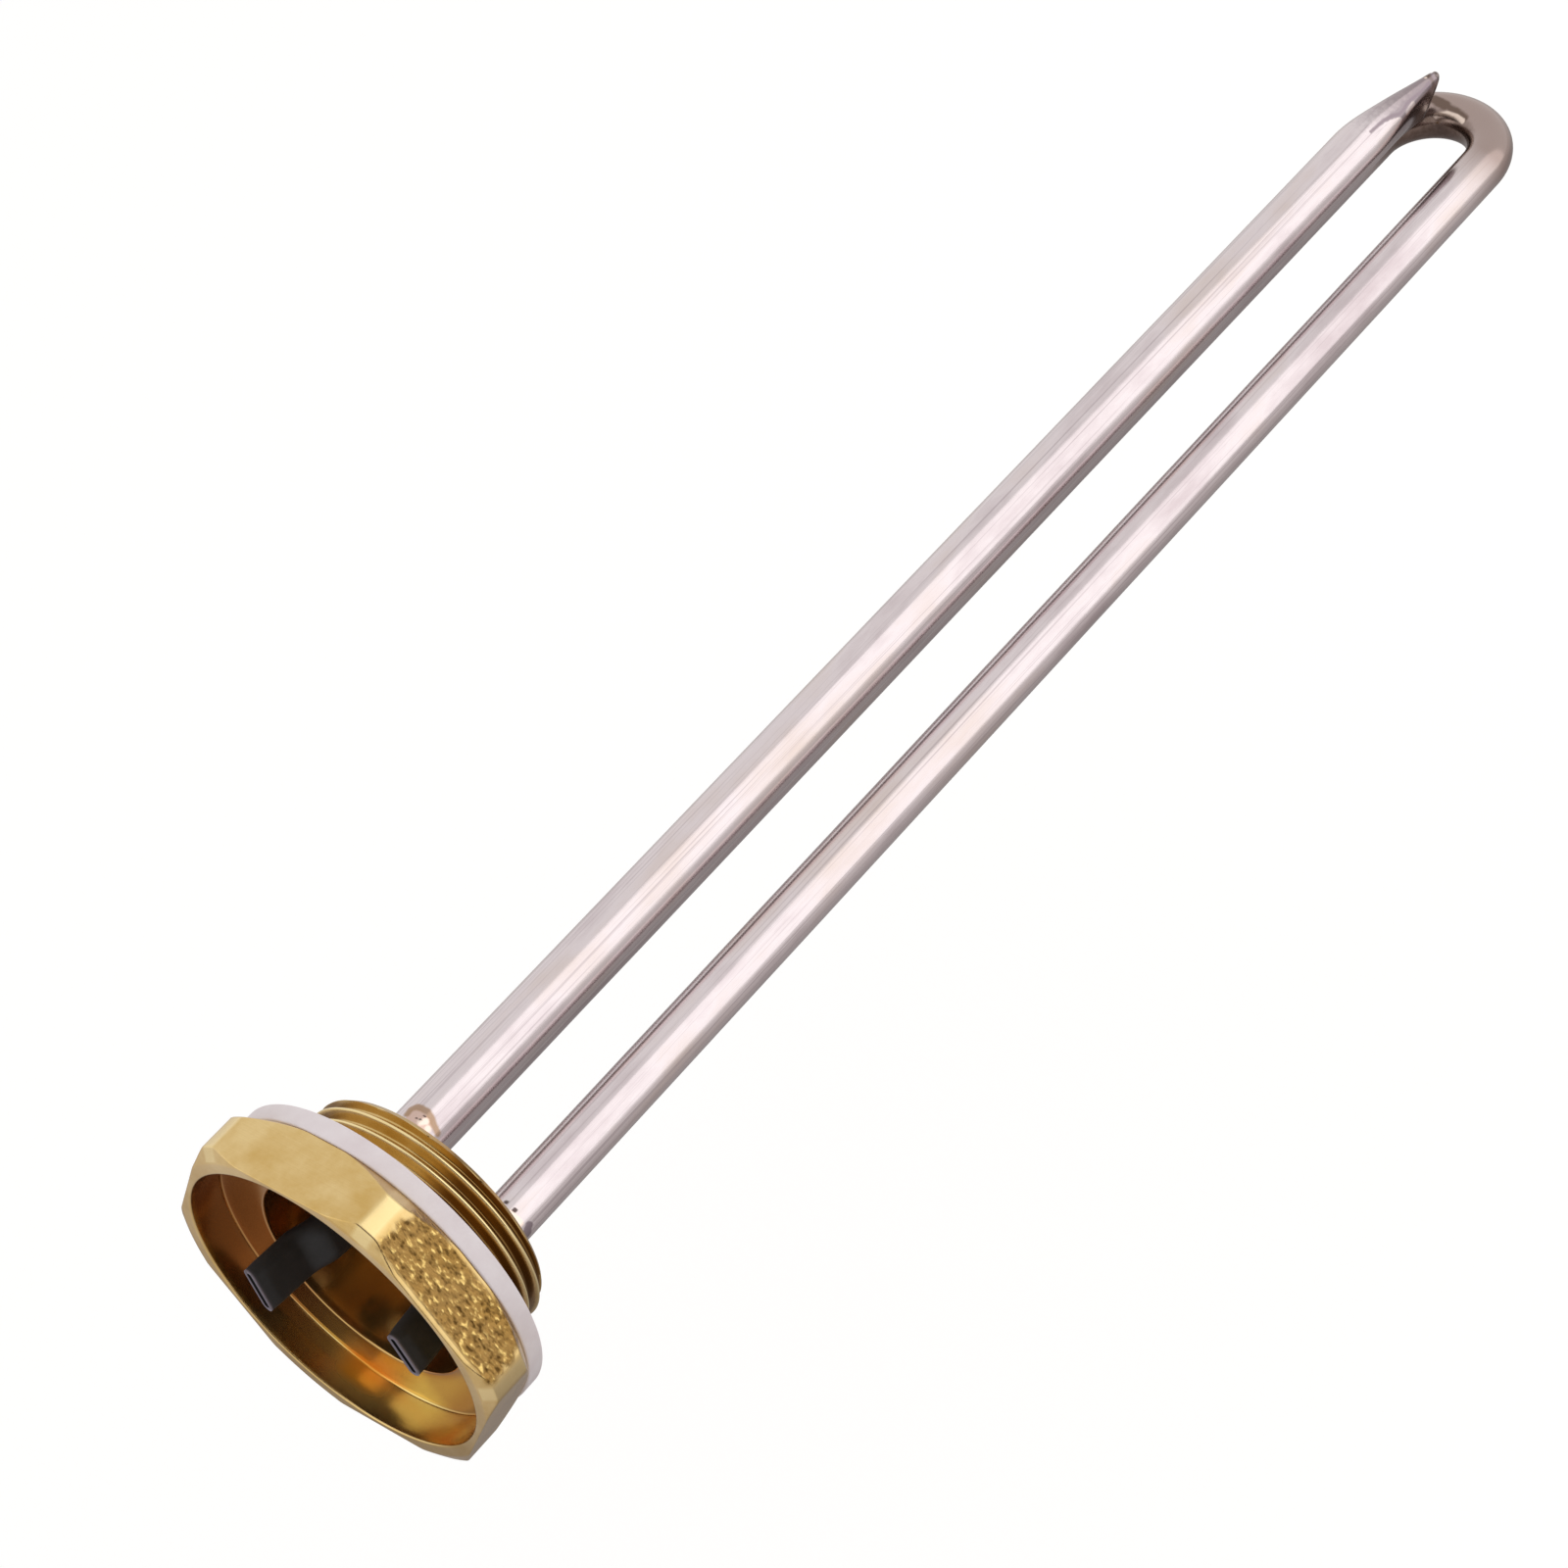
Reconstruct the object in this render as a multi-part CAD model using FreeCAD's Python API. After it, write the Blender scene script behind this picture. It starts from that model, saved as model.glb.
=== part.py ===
import FreeCAD, Part
import math
import os

from FreeCAD import Vector

# Screw plug immersion heater: a brass plug with a hexagon head and a male pipe thread carries a
# bent heating element and a thermowell, both of stainless tube. All lengths are in millimetres
# and all angles in degrees. Y runs along the plug from the terminal cup to the tip, Z is up and
# X is to the right. The origin is on the plug's axis, in the face of the gasket that seals
# against the tank, so what is outside the tank has a negative Y.

# Plug
thread_diameter = 41.9          # major diameter of an 1 1/4 inch pipe thread
barrel_length = 9.2             # from the gasket's face to the end of the barrel
barrel_chamfer = 1.3
undercut_depth = 1.5            # relief where the thread runs out under the gasket
hex_across_flats = 54.4
hex_corner_diameter = 60.8      # the hexagon's corners are turned down to this
hex_height = 10.0
front_chamfer_diameter = 56.8   # where the chamfer cone meets the front face
front_chamfer_angle = 30.0
back_chamfer_diameter = 54.8
back_chamfer_angle = 40.0
mouth_diameter = 52.4           # wide shallow bore round the terminals
mouth_depth = 6.4
cup_wall = 2.75                 # between the cup and the thread's major diameter
floor_thickness = 3.0           # wall at the barrel's end, which the tubes go through
rim_chamfer = 0.3
floor_fillet = 0.8

# Gasket
gasket_thickness = 3.2
gasket_diameter = 55.2
gasket_clearance = 0.25         # radial gap that lets the ring pass over the thread

# Heating element
sheath_diameter = 8.0
sheath_wall = 0.7
leg_spacing = 21.3              # between the axes of the two legs
leg_height = -1.5               # height of the element's plane above the plug's axis
element_reach = 287.4           # from the gasket's face to the outside of the bend
tube_stand_in = 1.5             # length of tube that stands proud of the cup's floor
braze_gap = 0.06                # radial gap between a tube and its hole
fill_gap = 0.02                 # radial gap between the powder and the sheath
coil_diameter = 3.4
pin_diameter = 2.5
pin_depth = 40.0                # length of cold pin inside the sheath
seal_length = 4.0
bushing_collar_diameter = 7.6
bushing_collar_length = 1.5
bushing_spigot_length = 2.0

# Terminals
splay_angle = 5.0               # each pin's free end is bent outwards by this
splay_radius = 8.0
bend_offsets = (2.3, 0.5)       # where each bend starts, from the collar of its bushing
lean_angles = (12.0, 16.0)      # turn of each blade about its own length
pin_end = 4.0                   # along the terminal, from the end of the bend
blade_start = 6.6
blade_end = 13.0
blade_width = 6.3
blade_thickness = 0.8
blade_bevel = 1.05
blade_hole_diameter = 1.6
shank_start = 0.4
shank_width = 2.8
sleeve_start = -0.8
sleeve_end = 15.4
sleeve_wall = 0.65
sleeve_edge_room = 0.3          # between the blade's edges and the sleeve
sleeve_face_room = 0.45         # between the blade's faces and the sleeve
sleeve_root_room = 0.2          # round the pin and the shank inside the sleeve

# Thermowell
well_diameter = 8.5
well_wall = 0.6
well_x = -3.5
well_height = 9.25
well_setback = 10.15            # how far the end of the weld stays short of the bend
pinch_length = 19.5
pinch_angle = 67.0              # direction of the flattened tip, from X towards Z
pinch_offset = 2.75             # how far the press pushes the tip off the tube's axis
pinch_steps = 5
pinch_bite = 1.6                # how early the press bites, from 1 to 2
oval_fullness = 0.94            # how nearly the oval's corners reach its flat faces
tip_thickness = 1.9
tip_closed_length = 2.4
weld_radius = 1.15

braze_leg = 1.3                 # height and width of each braze fillet
braze_fullness = 0.33           # share of them that is left halfway along its hollow face

cut_margin = 1.0                # how far a cutting shape runs past what it cuts

# Places that follow from the sizes above
front_y = -gasket_thickness - hex_height
back_y = -gasket_thickness
shoulder_y = front_y + mouth_depth
floor_y = barrel_length - floor_thickness
tube_start_y = floor_y - tube_stand_in
bend_radius = leg_spacing / 2
bend_y = element_reach - sheath_diameter / 2 - bend_radius
well_end_y = element_reach - well_setback - weld_radius
pinch_start_y = well_end_y - pinch_length
leg_places = (-leg_spacing / 2, leg_spacing / 2)

Y_AXIS = Vector(0, 1, 0)
ORIGIN = Vector(0, 0, 0)


def tan_deg(angle):
    return math.tan(math.radians(angle))


def turned(points):
    """Solid of revolution about the plug's axis from (radius, y) corners."""
    corners = [Vector(radius, y, 0) for radius, y in points]
    wire = Part.makePolygon(corners + corners[:1])
    return Part.Face(wire).revolve(ORIGIN, Y_AXIS, 360)


def rod(radius, x, z, start_y, end_y):
    """Round bar along Y."""
    return Part.makeCylinder(radius, end_y - start_y, Vector(x, start_y, z), Y_AXIS)


def ring(inner_radius, outer_radius, x, z, start_y, end_y):
    """Plain tube or washer along Y."""
    outer = rod(outer_radius, x, z, start_y, end_y)
    return outer.cut(rod(inner_radius, x, z, start_y, end_y))


def hairpin(radius, start_y):
    """Round bar that follows the element: up one leg, round the bend and down the other."""
    left, right = leg_places
    top = Vector(0, bend_y + bend_radius, leg_height)
    first = Vector(left, start_y, leg_height)
    path = Part.Wire([
        Part.makeLine(first, Vector(left, bend_y, leg_height)),
        Part.Arc(Vector(left, bend_y, leg_height), top, Vector(right, bend_y, leg_height)).toShape(),
        Part.makeLine(Vector(right, bend_y, leg_height), Vector(right, start_y, leg_height)),
    ])
    section = Part.Wire(Part.makeCircle(radius, first, Y_AXIS))
    return path.makePipeShell([section], True, False)


def hex_prism(across_flats, start_y, height):
    """Hexagonal bar along Y with one pair of flats level."""
    corner_radius = across_flats / math.sqrt(3)
    corners = []
    for step in range(6):
        angle = math.radians(60 * step)
        corners.append(Vector(corner_radius * math.cos(angle), start_y, corner_radius * math.sin(angle)))
    face = Part.Face(Part.makePolygon(corners + corners[:1]))
    return face.extrude(Vector(0, height, 0))


def make_plug():
    """Forged and turned brass plug: hexagon head, barrel, stepped cup and three tube holes."""
    corner_radius = hex_corner_diameter / 2
    front_radius = front_chamfer_diameter / 2
    back_radius = back_chamfer_diameter / 2
    front_drop = (corner_radius - front_radius) * tan_deg(front_chamfer_angle)
    back_drop = (corner_radius - back_radius) * tan_deg(back_chamfer_angle)
    blank = turned([
        (0, front_y),
        (front_radius, front_y),
        (corner_radius, front_y + front_drop),
        (corner_radius, back_y - back_drop),
        (back_radius, back_y),
        (0, back_y),
    ])
    head = blank.common(hex_prism(hex_across_flats, front_y, hex_height))

    thread_radius = thread_diameter / 2
    relief_radius = thread_radius - undercut_depth
    barrel = turned([
        (0, back_y),
        (relief_radius, back_y),
        (relief_radius, -undercut_depth),
        (thread_radius, 0),
        (thread_radius, barrel_length - barrel_chamfer),
        (thread_radius - barrel_chamfer, barrel_length),
        (0, barrel_length),
    ])
    plug = head.fuse(barrel).removeSplitter()

    mouth_radius = mouth_diameter / 2
    cup_radius = thread_radius - cup_wall
    cup = turned([
        (0, front_y),
        (mouth_radius + rim_chamfer, front_y),
        (mouth_radius, front_y + rim_chamfer),
        (mouth_radius, shoulder_y),
        (cup_radius + rim_chamfer, shoulder_y),
        (cup_radius, shoulder_y + rim_chamfer),
        (cup_radius, floor_y - floor_fillet),
        (cup_radius - floor_fillet, floor_y),
        (0, floor_y),
    ])
    plug = plug.cut(cup)

    start_y = floor_y - cut_margin
    end_y = barrel_length + cut_margin
    for x in leg_places:
        plug = plug.cut(rod(sheath_diameter / 2 + braze_gap, x, leg_height, start_y, end_y))
    return plug.cut(rod(well_diameter / 2 + braze_gap, well_x, well_height, start_y, end_y))


def make_gasket():
    inner_radius = thread_diameter / 2 + gasket_clearance
    return ring(inner_radius, gasket_diameter / 2, 0, 0, back_y, 0)


def make_sheath():
    """One stainless tube bent to a hairpin."""
    outer = hairpin(sheath_diameter / 2, tube_start_y)
    inner = hairpin(sheath_diameter / 2 - sheath_wall, tube_start_y)
    return outer.cut(inner)


def fill_radius():
    return sheath_diameter / 2 - sheath_wall - fill_gap


def fill_start_y():
    return tube_start_y + bushing_spigot_length + seal_length


def coil_start_y():
    return tube_start_y + pin_depth


def make_fill():
    """Pressed insulating powder round the coil and the pins."""
    fill = hairpin(fill_radius(), fill_start_y())
    fill = fill.cut(hairpin(coil_diameter / 2, coil_start_y()))
    for x in leg_places:
        fill = fill.cut(rod(pin_diameter / 2, x, leg_height, fill_start_y(), coil_start_y()))
    return fill


def make_coil():
    """Outer form of the close-wound resistance coil."""
    return hairpin(coil_diameter / 2, coil_start_y())


def make_seal(x):
    start_y = tube_start_y + bushing_spigot_length
    return ring(pin_diameter / 2, fill_radius(), x, leg_height, start_y, start_y + seal_length)


def make_bushing(x):
    """Ceramic bead with a collar on the end of the sheath and a spigot inside it."""
    start_y = tube_start_y - bushing_collar_length
    end_y = tube_start_y + bushing_spigot_length
    collar = rod(bushing_collar_diameter / 2, x, leg_height, start_y, tube_start_y)
    spigot = rod(fill_radius(), x, leg_height, tube_start_y, end_y)
    hole = rod(pin_diameter / 2 + fill_gap, x, leg_height, start_y, end_y)
    return collar.fuse(spigot).cut(hole)


class Terminal:
    """Directions and stations along the bent free end of one cold pin."""

    def __init__(self, number, x):
        side = math.copysign(1, x)
        splay = math.radians(splay_angle)
        lean = math.radians(lean_angles[number - 1])
        self.x = x
        self.bend_start_y = tube_start_y - bushing_collar_length - bend_offsets[number - 1]
        shift = splay_radius * (1 - math.cos(splay))
        drop = splay_radius * math.sin(splay)
        self.bend_start = Vector(x, self.bend_start_y, leg_height)
        self.bend_end = Vector(x + side * shift, self.bend_start_y - drop, leg_height)
        half = splay / 2
        self.bend_middle = Vector(x + side * splay_radius * (1 - math.cos(half)),
                                  self.bend_start_y - splay_radius * math.sin(half), leg_height)
        self.along = Vector(side * math.sin(splay), -math.cos(splay), 0)
        outward = Vector(side * math.cos(splay), math.sin(splay), 0)
        # The blade's top leans towards -X on both terminals.
        turn = side * lean
        self.across = Vector(0, 0, 1) * math.cos(turn) - outward * math.sin(turn)
        self.out = outward * math.cos(turn) + Vector(0, 0, 1) * math.sin(turn)

    def point(self, length, out, across):
        return self.bend_end + self.along * length + self.out * out + self.across * across


def make_pin(terminal):
    """Cold pin: straight inside the sheath, with its free end bent outwards."""
    start = Vector(terminal.x, coil_start_y(), leg_height)
    path = Part.Wire([
        Part.makeLine(start, terminal.bend_start),
        Part.Arc(terminal.bend_start, terminal.bend_middle, terminal.bend_end).toShape(),
        Part.makeLine(terminal.bend_end, terminal.point(pin_end, 0, 0)),
    ])
    section = Part.Wire(Part.makeCircle(pin_diameter / 2, start, Y_AXIS))
    return path.makePipeShell([section], True, False)


def make_tab(terminal):
    """Push-on blade with a narrow shank that is welded along the side of the pin."""
    inside = pin_diameter / 2
    half_shank = shank_width / 2
    half_blade = blade_width / 2
    outline = [
        (shank_start, -half_shank),
        (blade_start, -half_shank),
        (blade_start, -half_blade),
        (blade_end - blade_bevel, -half_blade),
        (blade_end, -half_blade + blade_bevel),
        (blade_end, half_blade - blade_bevel),
        (blade_end - blade_bevel, half_blade),
        (blade_start, half_blade),
        (blade_start, half_shank),
        (shank_start, half_shank),
    ]
    corners = [terminal.point(length, inside, across) for length, across in outline]
    face = Part.Face(Part.makePolygon(corners + corners[:1]))
    tab = face.extrude(terminal.out * blade_thickness)
    hole_at = terminal.point((blade_start + blade_end) / 2, inside - cut_margin, 0)
    hole_length = blade_thickness + 2 * cut_margin
    hole = Part.makeCylinder(blade_hole_diameter / 2, hole_length, hole_at, terminal.out)
    return tab.cut(hole)


def oblong(terminal, length, out, width, thickness):
    """Closed outline with flat sides and round edges, square to the terminal."""
    radius = thickness / 2
    flat = width / 2 - radius
    low_in = terminal.point(length, out - radius, -flat)
    high_in = terminal.point(length, out - radius, flat)
    high_out = terminal.point(length, out + radius, flat)
    low_out = terminal.point(length, out + radius, -flat)
    high_edge = terminal.point(length, out, flat + radius)
    low_edge = terminal.point(length, out, -flat - radius)
    return Part.Wire([
        Part.makeLine(low_in, high_in),
        Part.Arc(high_in, high_edge, high_out).toShape(),
        Part.makeLine(high_out, low_out),
        Part.Arc(low_out, low_edge, low_in).toShape(),
    ])


def make_sleeve(terminal):
    """Soft sleeve, round over the pin and flattened over the blade, open at both ends."""
    root_out = blade_thickness / 2
    root_thickness = pin_diameter + blade_thickness + 2 * sleeve_root_room
    root_width = root_thickness + shank_width
    mouth_out = pin_diameter / 2 + blade_thickness / 2
    mouth_thickness = blade_thickness + 2 * sleeve_face_room
    mouth_width = blade_width + 2 * sleeve_edge_room
    stations = [
        (sleeve_start, root_out, root_width, root_thickness),
        (pin_end, root_out, root_width, root_thickness),
        (blade_start, mouth_out, mouth_width, mouth_thickness),
        (sleeve_end, mouth_out, mouth_width, mouth_thickness),
    ]
    outer = []
    inner = []
    for length, out, width, thickness in stations:
        inner.append(oblong(terminal, length, out, width, thickness))
        outer.append(oblong(terminal, length, out, width + 2 * sleeve_wall, thickness + 2 * sleeve_wall))
    return Part.makeLoft(outer, True, True).cut(Part.makeLoft(inner, True, True))


def pinch_ways():
    """Directions along the flattened tip and through its thickness."""
    turn = math.radians(pinch_angle)
    return Vector(math.cos(turn), 0, math.sin(turn)), Vector(math.sin(turn), 0, -math.cos(turn))


def well_section(y, radius, flatness, end_radius):
    """Closed outline of four arcs, from a circle at flatness 0 to a flat oval at flatness 1.

    The wall keeps its length as it is pressed, so the oval is as wide as the circle's girth allows.
    """
    half_thick = radius + (end_radius - radius) * flatness
    end_width = end_radius + math.pi / 2 * (radius - end_radius)
    half_wide = radius + (end_width - radius) * flatness
    corner = radius / math.sqrt(2)
    corner_wide = corner + (end_width - end_radius - corner) * flatness
    corner_thick = corner + (oval_fullness * end_radius - corner) * flatness
    wide_way, thin_way = pinch_ways()
    centre = Vector(well_x, y, well_height) + thin_way * pinch_offset * flatness

    def at(wide, thin):
        return centre + wide_way * wide + thin_way * thin

    low_right = at(corner_wide, -corner_thick)
    high_right = at(corner_wide, corner_thick)
    high_left = at(-corner_wide, corner_thick)
    low_left = at(-corner_wide, -corner_thick)
    return Part.Wire([
        Part.Arc(low_right, at(half_wide, 0), high_right).toShape(),
        Part.Arc(high_right, at(0, half_thick), high_left).toShape(),
        Part.Arc(high_left, at(-half_wide, 0), low_left).toShape(),
        Part.Arc(low_left, at(0, -half_thick), low_right).toShape(),
    ])


def pinched_bar(radius, start_y, end_y, end_radius):
    """Round bar that is pressed to a flat blade over its last stretch."""
    stations = [well_section(start_y, radius, 0, end_radius)]
    for step in range(pinch_steps + 1):
        share = step / pinch_steps
        # The press bites gently and then runs straight to the tip.
        flatness = share * share * (pinch_bite - (pinch_bite - 1) * share)
        y = pinch_start_y + (end_y - pinch_start_y) * share
        stations.append(well_section(y, radius, flatness, end_radius))
    return Part.makeLoft(stations, True, True)


def make_well():
    """Thermowell: stainless tube, open in the cup and pinched shut at its tip."""
    outer = pinched_bar(well_diameter / 2, tube_start_y, well_end_y, tip_thickness / 2)
    inner = pinched_bar(well_diameter / 2 - well_wall, tube_start_y, well_end_y - tip_closed_length,
                        tip_thickness / 2 - well_wall)
    return outer.cut(inner)


def make_tip_weld():
    """Bead that runs along the pinched edge."""
    radius = well_diameter / 2
    end_radius = tip_thickness / 2
    half_length = end_radius + math.pi / 2 * (radius - end_radius) - weld_radius
    wide_way, thin_way = pinch_ways()
    centre = Vector(well_x, well_end_y, well_height) + thin_way * pinch_offset
    first = centre - wide_way * half_length
    last = centre + wide_way * half_length
    bead = Part.makeCylinder(weld_radius, 2 * half_length, first, wide_way)
    bead = bead.fuse(Part.makeSphere(weld_radius, first)).fuse(Part.makeSphere(weld_radius, last))
    size = 4 * half_length
    corner = centre - Vector(size / 2, 0, size / 2)
    keep = Part.makeBox(size, weld_radius + cut_margin, size, corner)
    return bead.common(keep).removeSplitter()


def make_braze(radius, x, z):
    """Ring of braze metal in the corner between a tube and the end of the barrel."""
    inside = radius + fill_gap
    waist = braze_leg * braze_fullness
    corners = [
        Vector(x + inside, barrel_length, z),
        Vector(x + inside + braze_leg, barrel_length, z),
        Vector(x + inside + waist, barrel_length + waist, z),
        Vector(x + inside, barrel_length + braze_leg, z),
    ]
    face = Part.Face(Part.makePolygon(corners + corners[:1]))
    return face.revolve(Vector(x, 0, z), Y_AXIS, 360)


parts = {
    "plug_body": make_plug(),
    "sealing_gasket": make_gasket(),
    "element_sheath": make_sheath(),
    "magnesia_fill": make_fill(),
    "resistance_coil": make_coil(),
    "thermowell_tube": make_well(),
    "thermowell_tip_weld": make_tip_weld(),
    "braze_fillet_thermowell": make_braze(well_diameter / 2, well_x, well_height),
}
for number, x in enumerate(leg_places, start=1):
    terminal = Terminal(number, x)
    parts["cold_pin_%d" % number] = make_pin(terminal)
    parts["terminal_tab_%d" % number] = make_tab(terminal)
    parts["terminal_sleeve_%d" % number] = make_sleeve(terminal)
    parts["ceramic_bushing_%d" % number] = make_bushing(x)
    parts["end_seal_%d" % number] = make_seal(x)
    parts["braze_fillet_leg_%d" % number] = make_braze(sheath_diameter / 2, x, leg_height)

os.makedirs("parts", exist_ok=True)
for name, shape in parts.items():
    shape.exportStep("parts/%s.step" % name)
    box = shape.BoundBox
    print("%-26s solids %d  volume %9.2f  valid %s  y %7.2f %7.2f" % (
        name, len(shape.Solids), shape.Volume, shape.isValid(), box.YMin, box.YMax))
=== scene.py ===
import bmesh
import bpy
import math
import numpy as np
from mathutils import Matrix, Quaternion, Vector
from mathutils.geometry import delaunay_2d_cdt


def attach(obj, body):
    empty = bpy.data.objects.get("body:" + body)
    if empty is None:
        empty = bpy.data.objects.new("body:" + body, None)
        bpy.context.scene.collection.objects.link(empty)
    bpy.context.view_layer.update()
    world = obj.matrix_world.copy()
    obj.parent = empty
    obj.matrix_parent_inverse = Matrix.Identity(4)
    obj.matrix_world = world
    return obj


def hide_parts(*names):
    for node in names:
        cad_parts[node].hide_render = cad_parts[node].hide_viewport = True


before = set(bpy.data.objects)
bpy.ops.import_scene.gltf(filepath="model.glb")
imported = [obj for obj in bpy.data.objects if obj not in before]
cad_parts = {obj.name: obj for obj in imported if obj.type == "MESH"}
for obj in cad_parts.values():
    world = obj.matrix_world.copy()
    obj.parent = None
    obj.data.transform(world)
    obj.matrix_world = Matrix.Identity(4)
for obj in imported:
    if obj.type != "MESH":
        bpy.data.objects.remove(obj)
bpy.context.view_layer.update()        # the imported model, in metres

print("stage: frame loaded")

# Shapes are worked out in millimetres and written to the meshes in metres.
mm = 0.001


# Numbers and noise

def smoothStep(low, high, value):
    # 0 below low, 1 above high, and 3t^2 - 2t^3 between them
    t = np.clip((np.asarray(value, float) - low) / (high - low), 0.0, 1.0)
    return t * t * (3.0 - 2.0 * t)


def latticeNoise(u, v, seed, wrapU=0):
    # Random heights on a square lattice, blended with smooth steps between its points: -1 to 1.
    # wrapU is the number of lattice steps after which the pattern repeats round a piece.
    table = np.random.default_rng(seed).uniform(-1.0, 1.0, (256, 256))
    iu, iv = np.floor(u).astype(int), np.floor(v).astype(int)
    fu, fv = u - iu, v - iv
    fu, fv = fu * fu * (3 - 2 * fu), fv * fv * (3 - 2 * fv)
    left, right = (iu % wrapU, (iu + 1) % wrapU) if wrapU else (iu % 256, (iu + 1) % 256)
    low, high = iv % 256, (iv + 1) % 256
    bottom = table[left, low] * (1 - fu) + table[right, low] * fu
    top = table[left, high] * (1 - fu) + table[right, high] * fu
    return bottom * (1 - fv) + top * fv


def softLimit(value, limit, sharpness=6.0):
    # value / (1 + |value / limit|^n)^(1/n): follows the value and bends over to the limit
    return value / (1.0 + np.abs(value / limit) ** sharpness) ** (1.0 / sharpness)


def softSmaller(first, second, width):
    # the smaller of two radii, with the corner between them rounded over the width
    middle = 0.5 * (first + second)
    return middle - width * np.log(np.exp((middle - first) / width) + np.exp((middle - second) / width))


def span(value, start, full, fade, end):
    # 0 before the start, 1 from full to fade, and 0 after the end
    return smoothStep(start, full, value) * (1 - smoothStep(fade, end, value))


def evenAngles(count):
    # a full turn in equal steps
    return np.arange(count) * 2 * np.pi / count


# Meshes

def gridFaces(rows, columns, closedAlong=False, start=0):
    # Quads between neighbouring rows of closed outlines, back to the first row if closed along.
    r, c = np.meshgrid(np.arange(rows if closedAlong else rows - 1), np.arange(columns), indexing="ij")
    r2, c2 = (r + 1) % rows, (c + 1) % columns
    quads = np.stack([r * columns + c, r * columns + c2, r2 * columns + c2, r2 * columns + c], -1)
    return quads.reshape(-1, 4) + start


def ringFaces(points):
    return [gridFaces(*points.shape[:2], closedAlong=True)]


def poleFaces(rowStart, columns, pole):
    # A fan of triangles from one row of points to the point at its middle.
    c = np.arange(columns)
    return np.stack([rowStart + c, rowStart + (c + 1) % columns, np.full(columns, pole)], -1)


def weldPoints(points, faceSets, step=2e-4):
    # Points that fall in the same small cell become one, and triangles that lose a side go.
    _, first, back = np.unique(np.round(points / step).astype(np.int64), axis=0,
                               return_index=True, return_inverse=True)
    back = back.reshape(-1)
    kept = []
    for faces in faceSets:
        faces = back[faces]
        if faces.shape[1] == 3:
            a, b, c = faces.T
            faces = faces[(a != b) & (b != c) & (c != a)]
        kept.append(faces)
    return points[first], kept, first


def makePiece(name, points, faceSets, material, standsFor, values=None, sharp=50, weld=True):
    # A closed mesh from points in millimetres, faces turned outwards, riding on the heater's one body.
    points = np.asarray(points, float).reshape(-1, 3)
    values = {key: np.asarray(value, float).reshape(-1) for key, value in (values or {}).items()}
    if weld:
        points, faceSets, first = weldPoints(points, faceSets)
        values = {key: value[first] for key, value in values.items()}
    loops = np.concatenate([faces.reshape(-1) for faces in faceSets])
    sizes = np.concatenate([np.full(len(faces), faces.shape[1]) for faces in faceSets])
    mesh = bpy.data.meshes.new(name)
    mesh.vertices.add(len(points))
    mesh.vertices.foreach_set("co", (points * mm).astype(np.float32).ravel())
    mesh.loops.add(len(loops))
    mesh.loops.foreach_set("vertex_index", loops.astype(np.int32))
    mesh.polygons.add(len(sizes))
    mesh.polygons.foreach_set("loop_start", (np.cumsum(sizes) - sizes).astype(np.int32))
    mesh.update(calc_edges=True)
    for key, value in values.items():
        layer = mesh.attributes.new(key, "FLOAT", "POINT")
        layer.data.foreach_set("value", value.astype(np.float32))
    mesh.validate()
    work = bmesh.new()
    work.from_mesh(mesh)
    bmesh.ops.recalc_face_normals(work, faces=work.faces)
    openEdges = sum(1 for edge in work.edges if len(edge.link_faces) != 2)
    work.to_mesh(mesh)
    work.free()
    mesh.shade_smooth()
    mesh.set_sharp_from_angle(angle=math.radians(sharp))
    mesh.materials.append(material)
    piece = bpy.data.objects.new(name, mesh)
    bpy.context.scene.collection.objects.link(piece)
    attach(piece, "root")
    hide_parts(standsFor)
    triangles = int((sizes - 2).sum())
    print("  %s: %d triangles, open edges %d" % (name, triangles, openEdges))
    return piece


def roundedProfile(corners, radii, runs, turn=5):
    # Rows of points along a broken line whose corners are swapped for quadratic Bezier curves.
    # corners: (corner, column, 2), radii: one length for each corner, runs: points inside each side.
    corners = np.asarray(corners, float)
    last = len(corners) - 1
    before, after = [corners[0]], [corners[0]]
    rows = []
    for k in range(1, last):
        back, ahead = corners[k - 1] - corners[k], corners[k + 1] - corners[k]
        backLength = np.maximum(np.linalg.norm(back, axis=-1, keepdims=True), 1e-6)
        aheadLength = np.maximum(np.linalg.norm(ahead, axis=-1, keepdims=True), 1e-6)
        before.append(corners[k] + back * np.minimum(radii[k] / backLength, 0.45))
        after.append(corners[k] + ahead * np.minimum(radii[k] / aheadLength, 0.45))
    before.append(corners[last])
    for k in range(last + 1):
        if 0 < k < last:
            t = np.linspace(0.0, 1.0, turn)[:, None, None]
            rows.append((1 - t) ** 2 * before[k] + 2 * t * (1 - t) * corners[k] + t ** 2 * after[k])
        else:
            rows.append(corners[k][None])
        if k < last:
            t = (np.arange(runs[k]) + 1.0)[:, None, None] / (runs[k] + 1)
            rows.append(after[k] * (1 - t) + before[k + 1] * t)
    return np.concatenate(rows)


def closedProfile(outline, radii, runs, turn, columns):
    # The rounded profile of a closed outline of (radius, y), each one number or one for each column.
    # The outline ends where it starts, so its last row is left out.
    one = np.ones(columns)
    corners = [np.stack([radius * one, y * one], -1) for radius, y in outline]
    return roundedProfile(corners, radii, runs, turn)[:-1]


def turnedPoints(profile, angles, x=0.0, z=0.0):
    # (row, column, 2) radius and y, turned to each column's angle about an axis along Y
    radius, y = profile[..., 0], profile[..., 1]
    return np.stack([x + radius * np.cos(angles), y + 0 * radius, z + radius * np.sin(angles)], -1)


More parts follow.
